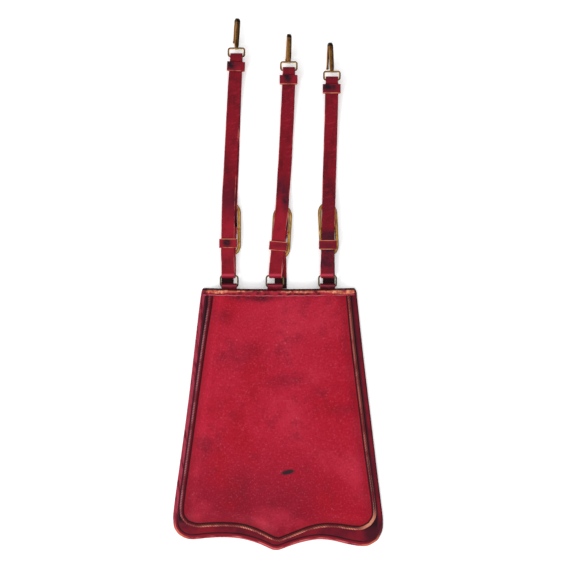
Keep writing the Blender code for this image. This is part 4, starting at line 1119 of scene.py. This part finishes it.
def make_sling(side, sling, finish):
    made = swept_strap(sling_path(sling))
    bar_x, bar = bar_place(sling)
    top = BUCKLE_BAR_Z + bar_turn(BUCKLE_BAR_RADIUS) + STRAP_THICKNESS
    # The slots for the tongue's eye and for its wire: place along, height, length and depth
    slots = [(bar - EYE_SLOT_SHIFT, (top + EYE_SLOT_FLOOR) / 2, EYE_SLOT_LENGTH, top - EYE_SLOT_FLOOR),
             (bar + TONGUE_SLOT_RUN, TONGUE_SLOT_HEIGHT, TONGUE_SLOT_LENGTH, TONGUE_SLOT_DEPTH)]
    for y, z, length, depth in slots:
        made = combine(made, block((bar_x, y, z), (TONGUE_SLOT_WIDTH, length, depth)), "DIFFERENCE")
    new_piece(f"strap_{side}", made, finish, "root", f"sling_{side}")


def make_chape(side, sling, finish):
    bar_y = RING_CENTRE_Y - RING_HALF_HEIGHT + CHAPE_SLACK
    turn = bar_turn(RING_WIRE)
    low, high = RING_Z - turn, RING_Z + turn
    legs = [(CHAPE_TAIL_END, low), (-19.0, low), (-14.0, low), (-8.0, low)]
    legs += fold(bar_y, RING_Z, turn, -90, 90, FOLD_STEPS)
    legs += [(-4.0, high - 0.2), (-6.0, high - 0.6), (-8.5, high - 1.3), (-11.5, high - 2.0),
             (-14.5, high - 2.5), (CHAPE_TAIL_END, low + STRAP_THICKNESS + CLEARANCE)]
    path = [(sling["chape_x"], y, z, CHAPE_WIDTH) for y, z in legs]
    made = swept_strap(path)
    new_piece(f"chape_leather_{side}", made, finish, "root", f"chape_{side}")


def make_ring(side, sling, finish):
    centre = Vector((sling["chape_x"], RING_CENTRE_Y, RING_Z))
    made = wire_frame(centre, RING_HALF_WIDTH, RING_HALF_HEIGHT, RING_CORNER, RING_WIRE)
    ring = new_piece(f"wire_ring_{side}", made, finish, "root", f"ring_{side}")
    mark_facing(ring, outward_of_frame(ring))


def make_keeper(name, replaced, x, y, slant, low, high, finish):
    """A loop of flat leather round the layers, turned by a slant, with rounded cut edges."""
    half_height = (high - low + KEEPER_WALL) / 2
    middle = (high + low) / 2
    half_width = KEEPER_HALF_WIDTH - KEEPER_WALL / 2
    outline = rounded_rectangle(half_width, half_height, KEEPER_CORNER, 5)
    path = []
    for i, point in enumerate(outline):
        path.append(point)
        after = outline[(i + 1) % len(outline)]
        if (after - point).length > 3.0:
            path += [point.lerp(after, k / 6) for k in range(1, 6)]
    count = len(path)
    outward = [cross_direction(path, i) for i in range(count)]
    half_length, half_wall = KEEPER_LENGTH / 2, KEEPER_WALL / 2
    # Rows round the band's own section: place along the sling, outwards and nearness to the cut edge
    band = [(half_length - 0.35, half_wall, 0.8), (half_length - 0.9, half_wall, 0.45),
            (half_length - 2.0, half_wall, 0.0), (0.0, half_wall, 0.0), (2.0 - half_length, half_wall, 0.0),
            (0.9 - half_length, half_wall, 0.45), (0.35 - half_length, half_wall, 0.8),
            (-half_length, half_wall - 0.35, 1.0), (-half_length, 0.35 - half_wall, 1.0),
            (0.35 - half_length, -half_wall, 0.6), (half_length - 0.35, -half_wall, 0.6),
            (half_length, 0.35 - half_wall, 1.0), (half_length, half_wall - 0.35, 1.0)]
    lengths = running_lengths(path + path[:1])

    def place(column, row):
        point, out = path[row % count], outward[row % count]
        along_y, away, _ = band[column % len(band)]
        at = point + out * away
        spot = Matrix.Rotation(slant, 2) @ Vector((at.x, along_y))
        return (x + spot.x, y + spot.y, middle + at.y)

    def flat(column, row):
        return (band[column % len(band)][0], lengths[row])

    made = bent_grid(len(band), count, place, flat, {"Rim": lambda i, j: band[i % len(band)][2]})
    new_piece(name, sealed(made), finish, "root", replaced)


def make_keepers(side, sling, finish):
    """One keeper below the hook's loop and one low down by the buckle, round all the layers there."""
    half = STRAP_THICKNESS / 2
    reach = KEEPER_LENGTH / 2 + KEEPER_MARGIN
    far, near = far_height(sling), near_height(sling)
    for level in ("upper", "lower"):
        x, y = sling[f"keeper_{level}_x"], sling[f"keeper_{level}_y"]
        ends = (y - reach, y, y + reach)
        low = min(along(far, place) for place in ends) - half - KEEPER_SLACK
        high = max(along(near, place) for place in ends) + half + KEEPER_SLACK
        slant = math.radians(sling[f"keeper_{level}_slant"])
        make_keeper(f"{level}_keeper_{side}", f"keeper_{level}_{side}", x, y, slant, low, high, finish)


def make_buckle(side, sling, finish):
    """An oblong frame, humped where its centre bar crosses it."""
    bar_x, bar = bar_place(sling)
    half_rail, half_height = BUCKLE_RAIL_WIDTH / 2 + BUCKLE_RAIL_SWELL, BUCKLE_RAIL_HEIGHT / 2
    half_width = BUCKLE_HALF_WIDTH - half_rail
    steps = 8
    outline = rounded_rectangle(half_width, BUCKLE_HALF_LENGTH - half_rail, BUCKLE_CORNER - half_rail, steps,
                                BUCKLE_CORNER_LENGTH - half_rail)
    top_right, top_left = outline[:steps + 1], outline[steps + 1:2 * (steps + 1)]
    marks = [-17.0, -14.0, -12.0, -10.0, -8.5, -7.0, -5.5, -4.0, -2.5, -1.0]
    marks = marks + [-mark for mark in reversed(marks)]
    right = [Vector((half_width, y, 0.0)) for y in marks]
    left = [Vector((-half_width, -y, 0.0)) for y in marks]
    path = top_left + left + outline[2 * (steps + 1):] + right + top_right
    centre = Vector((bar_x, bar, BUCKLE_RAIL_Z))
    rise = BUCKLE_BAR_Z - BUCKLE_RAIL_Z
    placed = []
    for p in path:
        lift = rise * bump(p.y, 2 * BUCKLE_BAR_HUMP)
        placed.append(centre + Vector((p.x + sling["frame_lean"] * p.y, p.y, lift)))
    flat_path = [Vector((p.x, p.y, 0)) for p in placed]
    rail = soft_section(16, 0.62)

    def section(i):
        across = cross_direction(flat_path, i)
        return [across * (a * half_rail) + UP * (b * half_height) for a, b in rail]

    ends = [Vector((bar_x + reach, bar, BUCKLE_BAR_Z)) for reach in (-half_width, half_width)]
    centre_bar = rod(*ends, Vector((0, 1, 0)), BUCKLE_BAR_RADIUS, 16)
    made = combine(closed_tube(placed, section), centre_bar, "UNION")
    buckle = new_piece(f"brass_buckle_{side}", made, finish, "root", f"buckle_frame_{side}")
    mark_facing(buckle, outward_of_frame(buckle))


def make_tongue(side, sling, finish):
    """Wire with an eye round the centre bar, its end under the frame's upper bar."""
    bar_x, bar = bar_place(sling)
    eye = BUCKLE_BAR_RADIUS + CLEARANCE + TONGUE_RADIUS
    turn = fold(bar, BUCKLE_BAR_Z, eye, 20, 285, 18)
    line = turn + [(bar + 4.0, BUCKLE_BAR_Z - eye - 0.05), (bar + 8.0, 2.8), (bar + 12.0, 2.4),
                   (bar + 17.0, 1.8), (bar + 22.0, 1.3), (bar + 30.0, 0.95), (bar + 33.6, 0.9)]
    path = [Vector((bar_x, y, z)) for y, z in line]
    made = open_tube(path, lambda i: round_section(SIDEWAYS, upright(path, i), TONGUE_RADIUS, 12))
    new_piece(f"brass_tongue_{side}", made, finish, "root", f"buckle_tongue_{side}")


# The hooks

def make_hook_loop(side, sling, finish):
    x, y, z = along(sling["near"], sling["loop_y"]), loop_bar_y(sling), hook_axis_height(sling)
    centre = Vector((x, y + LOOP_HEIGHT / 2, z))
    made = wire_frame(centre, LOOP_HALF_WIDTH, LOOP_HEIGHT / 2, LOOP_CORNER, LOOP_WIRE)
    boss_y = y + LOOP_HEIGHT
    boss = block((x, boss_y, z), (BOSS_WIDTH, BOSS_LENGTH, BOSS_DEPTH))
    bmesh.ops.bevel(boss, geom=list(boss.edges), offset=BOSS_BEVEL * MM, offset_type="OFFSET", segments=4,
                    profile=0.5, affect="EDGES", material=-1)
    made = combine(made, boss, "UNION")
    start = Vector((x, boss_y - DRILL_REACH, z))
    for reach, radius in ((DRILL_REACH, PIN_HOLE_RADIUS), (-RIVET_SHOULDER, RIVET_RECESS_RADIUS)):
        drill = rod(start, Vector((x, boss_y + reach, z)), SIDEWAYS, radius, 24)
        made = combine(made, drill, "DIFFERENCE")
    loop = new_piece(f"brass_loop_{side}", made, finish, f"loop_{side}", f"hook_loop_{side}")
    mark_facing(loop, outward_of_frame(loop))


def hook_rows(length, back):
    """Rows of (place along, place back, half width, half depth) from the rivet head to the ball nose.

    The nose lies a distance back from the hook's top."""
    half_gape = HOOK_GAPE / 2
    straight = length - half_gape - 1.4
    start = -RIVET_SHOULDER - CLEARANCE
    above = BOSS_LENGTH / 2 + CLEARANCE
    head = [(start - 0.55, 0.0, 1.0, 1.0), (start - 0.48, 0.0, 1.35, 1.35),
            (start - 0.35, 0.0, RIVET_RADIUS, RIVET_RADIUS), (start - 0.01, 0.0, RIVET_RADIUS, RIVET_RADIUS),
            (start, 0.0, PIN_RADIUS, PIN_RADIUS), (above, 0.0, PIN_RADIUS, PIN_RADIUS),
            (above + 0.01, 0.0, 2.4, 1.6)]
    shank = [(above + 0.3, 0.0, 2.6, 1.8), (above + 2.0, 0.0, 2.7, 1.6),
             (above + 5.0, 0.0, HOOK_BAR_HALF_WIDTH, HOOK_BAR_HALF_DEPTH),
             (straight, 0.0, HOOK_BAR_HALF_WIDTH, HOOK_BAR_HALF_DEPTH)]
    for step in range(1, 8):
        angle = math.pi * step / 8
        thin = step / 8
        shank.append((straight + half_gape * math.sin(angle), half_gape * (1 - math.cos(angle)),
                      HOOK_BAR_HALF_WIDTH + (1.7 - HOOK_BAR_HALF_WIDTH) * thin,
                      HOOK_BAR_HALF_DEPTH + (HOOK_LEG_RADIUS - HOOK_BAR_HALF_DEPTH) * thin))
    nose = length - back
    ball = HOOK_BALL_RADIUS
    shank += [(straight, HOOK_GAPE, 1.7, HOOK_LEG_RADIUS), (nose + 3.4, HOOK_GAPE, 1.35, 1.25),
              (nose + 1.7, HOOK_GAPE, 1.2, 1.2), (nose + 1.2, HOOK_GAPE, 1.6, 1.6),
              (nose, HOOK_GAPE, ball, ball), (nose - 1.2, HOOK_GAPE, 1.5, 1.5),
              (nose - 1.7, HOOK_GAPE, 0.7, 0.7)]
    return [Vector(row) for row in head] + smooth_path(shank, 4)


def hook_sideways(row, length, back, splay):
    """How far the hook's free leg has strayed sideways at a row, from its bend to its nose."""
    if row[1] < HOOK_GAPE / 2:
        return 0.0
    return splay * max(0.0, (length - row[0]) / back)


def make_hook(side, sling, finish):
    x, z = along(sling["near"], sling["loop_y"]), hook_axis_height(sling)
    boss_y = loop_bar_y(sling) + LOOP_HEIGHT
    length, back = sling["hook_length"], sling["hook_return"]
    rows = hook_rows(length, back)
    path = [Vector((-hook_sideways(row, length, back, sling["hook_splay"]), row[0], -row[1])) for row in rows]
    round_outline, flat_outline = soft_section(20, 1.0), soft_section(20, 0.6)

    def section(i):
        up = upright(path, i)
        outline = flat_outline if rows[i][2] > rows[i][3] + 0.2 else round_outline
        return [SIDEWAYS * (a * rows[i][2]) + up * (b * rows[i][3]) for a, b in outline]

    made = open_tube(path, section)
    turned = Matrix.Rotation(math.radians(sling["hook_turn"]), 3, "Y")
    leaned = Matrix.Rotation(math.radians(sling["hook_lean"]), 3, "Z")
    bmesh.ops.rotate(made, cent=(0, 0, 0), matrix=leaned @ turned, verts=made.verts)
    bmesh.ops.translate(made, vec=Vector((x, boss_y, z)) * MM, verts=made.verts)
    hook = new_piece(f"brass_hook_{side}", made, finish, f"hook_{side}", f"hook_{side}")
    # The brass finish paints shade on the hook's right-facing side and a highlight on its left-facing side
    mark_facing(hook, lambda place: SIDEWAYS)


# Floor, light and camera

# Sizes and places in metres, with the height of the leather's face, above which the camera stands
FLOOR_GAP = 0.0002
FLOOR_HALF_SIZE = 6.0
VIEW_WIDTH = 0.7456
VIEW_CENTRE = (0.00916, -0.00065)
CAMERA_HEIGHT = 3.0
FACE_LEVEL = 0.006
LAMP_PLACE = (-1.5, -1.7, 1.6)
LAMP_SIZE = 1.0
LAMP_POWER = 36.0
SKY_STRENGTH = 1.02
FLOOR_GLOW = 0.16
WHITE = (1.0, 1.0, 1.0, 1.0)


def make_floor():
    finish = Finish("floor_paper", (0.95, 0.95, 0.95, 1.0), 0.85)
    finish.coat((0.93, 0.93, 0.93, 1.0), finish.noise(finish.place(), 3.0, 2.0))
    finish.fill(finish.shader, {"Emission Color": WHITE, "Emission Strength": FLOOR_GLOW})
    material = finish.done(0.85)
    made = bmesh.new()
    bmesh.ops.create_grid(made, x_segments=1, y_segments=1, size=FLOOR_HALF_SIZE)
    mesh = mesh_of("floor", made)
    mesh.materials.append(material)
    floor = put_in_scene("floor", mesh)
    floor.location.z = -FLOOR_GAP


def make_lamp():
    data = bpy.data.lights.new("soft_window", "AREA")
    data.shape = "DISK"
    data.size = LAMP_SIZE
    data.energy = LAMP_POWER
    lamp = put_in_scene("soft_window", data)
    lamp.location = LAMP_PLACE
    lamp.rotation_mode = "QUATERNION"
    lamp.rotation_quaternion = Vector(LAMP_PLACE).to_track_quat("Z", "Y")


def make_studio():
    world = bpy.data.worlds.new("soft_room")
    world.use_nodes = True
    sky = world.node_tree.nodes["Background"].inputs
    sky["Color"].default_value = WHITE
    sky["Strength"].default_value = SKY_STRENGTH
    bpy.context.scene.world = world
    make_lamp()
    bpy.context.scene.view_settings.view_transform = "Standard"


def make_camera():
    """Straight above, far enough for the long lens of the photograph."""
    data = bpy.data.cameras.new("camera")
    data.sensor_width = 36.0
    data.lens = data.sensor_width * CAMERA_HEIGHT / VIEW_WIDTH
    camera = put_in_scene("camera", data)
    camera.location = (*VIEW_CENTRE, CAMERA_HEIGHT + FACE_LEVEL)
    bpy.context.scene.camera = camera


# Body, dark and edge colours, how much of the edge is rubbed, and the stains with their colour
SLING_LEATHER = (shade(112, 3, 22), shade(66, 2, 14), shade(196, 104, 96), 0.45,
                 SLING_STAINS, shade(50, 8, 26))
KEEPER_LEATHER = (shade(128, 12, 32), shade(66, 2, 14), shade(206, 132, 98), 0.9,
                  KEEPER_STAINS, shade(16, 8, 20))
CHAPE_LEATHER = (shade(92, 8, 22), shade(44, 4, 12), shade(150, 60, 60), 0.3)
# Bright and dull colours, a grime colour also painted as shade where the brass faces outward, share of grime,
# roughness, and the painted highlight colour of the parts that face inward
GOLD_BRASS = (shade(198, 150, 76), shade(148, 102, 46), shade(52, 30, 14), 0.45, 0.34, shade(246, 222, 172))
AGED_BRASS = (shade(160, 112, 58), shade(112, 74, 36), shade(30, 18, 10), 0.55, 0.36, shade(246, 224, 180))
DULL_BRASS = (shade(120, 104, 66), shade(70, 58, 38), shade(28, 22, 16), 0.7, 0.5, shade(150, 140, 104))
BROWN_BRASS = (shade(134, 92, 50), shade(88, 58, 32), shade(20, 13, 8), 0.65, 0.4, shade(176, 128, 74))


def main():
    make_camera()
    make_studio()
    make_floor()
    sling_leather = strap_finish("sling_leather_worn", *SLING_LEATHER)
    keeper_leather = strap_finish("keeper_leather_worn", *KEEPER_LEATHER)
    chape_leather = strap_finish("chape_leather_worn", *CHAPE_LEATHER)
    gold = brass_finish("worn_gold_brass", *GOLD_BRASS)
    aged = brass_finish("aged_gold_brass", *AGED_BRASS)
    dull = brass_finish("tarnished_brass", *DULL_BRASS)
    panel_sheet = make_panel(panel_finish())
    make_board(board_finish())
    make_binding(panel_sheet, binding_finish())
    for side, sling in SLINGS.items():
        make_chape(side, sling, chape_leather)
        make_ring(side, sling, dull)
        make_sling(side, sling, sling_leather)
        make_keepers(side, sling, keeper_leather)
        make_buckle(side, sling, gold)
        make_tongue(side, sling, gold)
        make_hook_loop(side, sling, aged)
        tip = loop_bar_y(sling) + LOOP_HEIGHT + sling["hook_length"]
        brown = brass_finish(f"brown_brass_{side}", *BROWN_BRASS, tip - HOOK_BLACK_END)
        make_hook(side, sling, brown)


main()
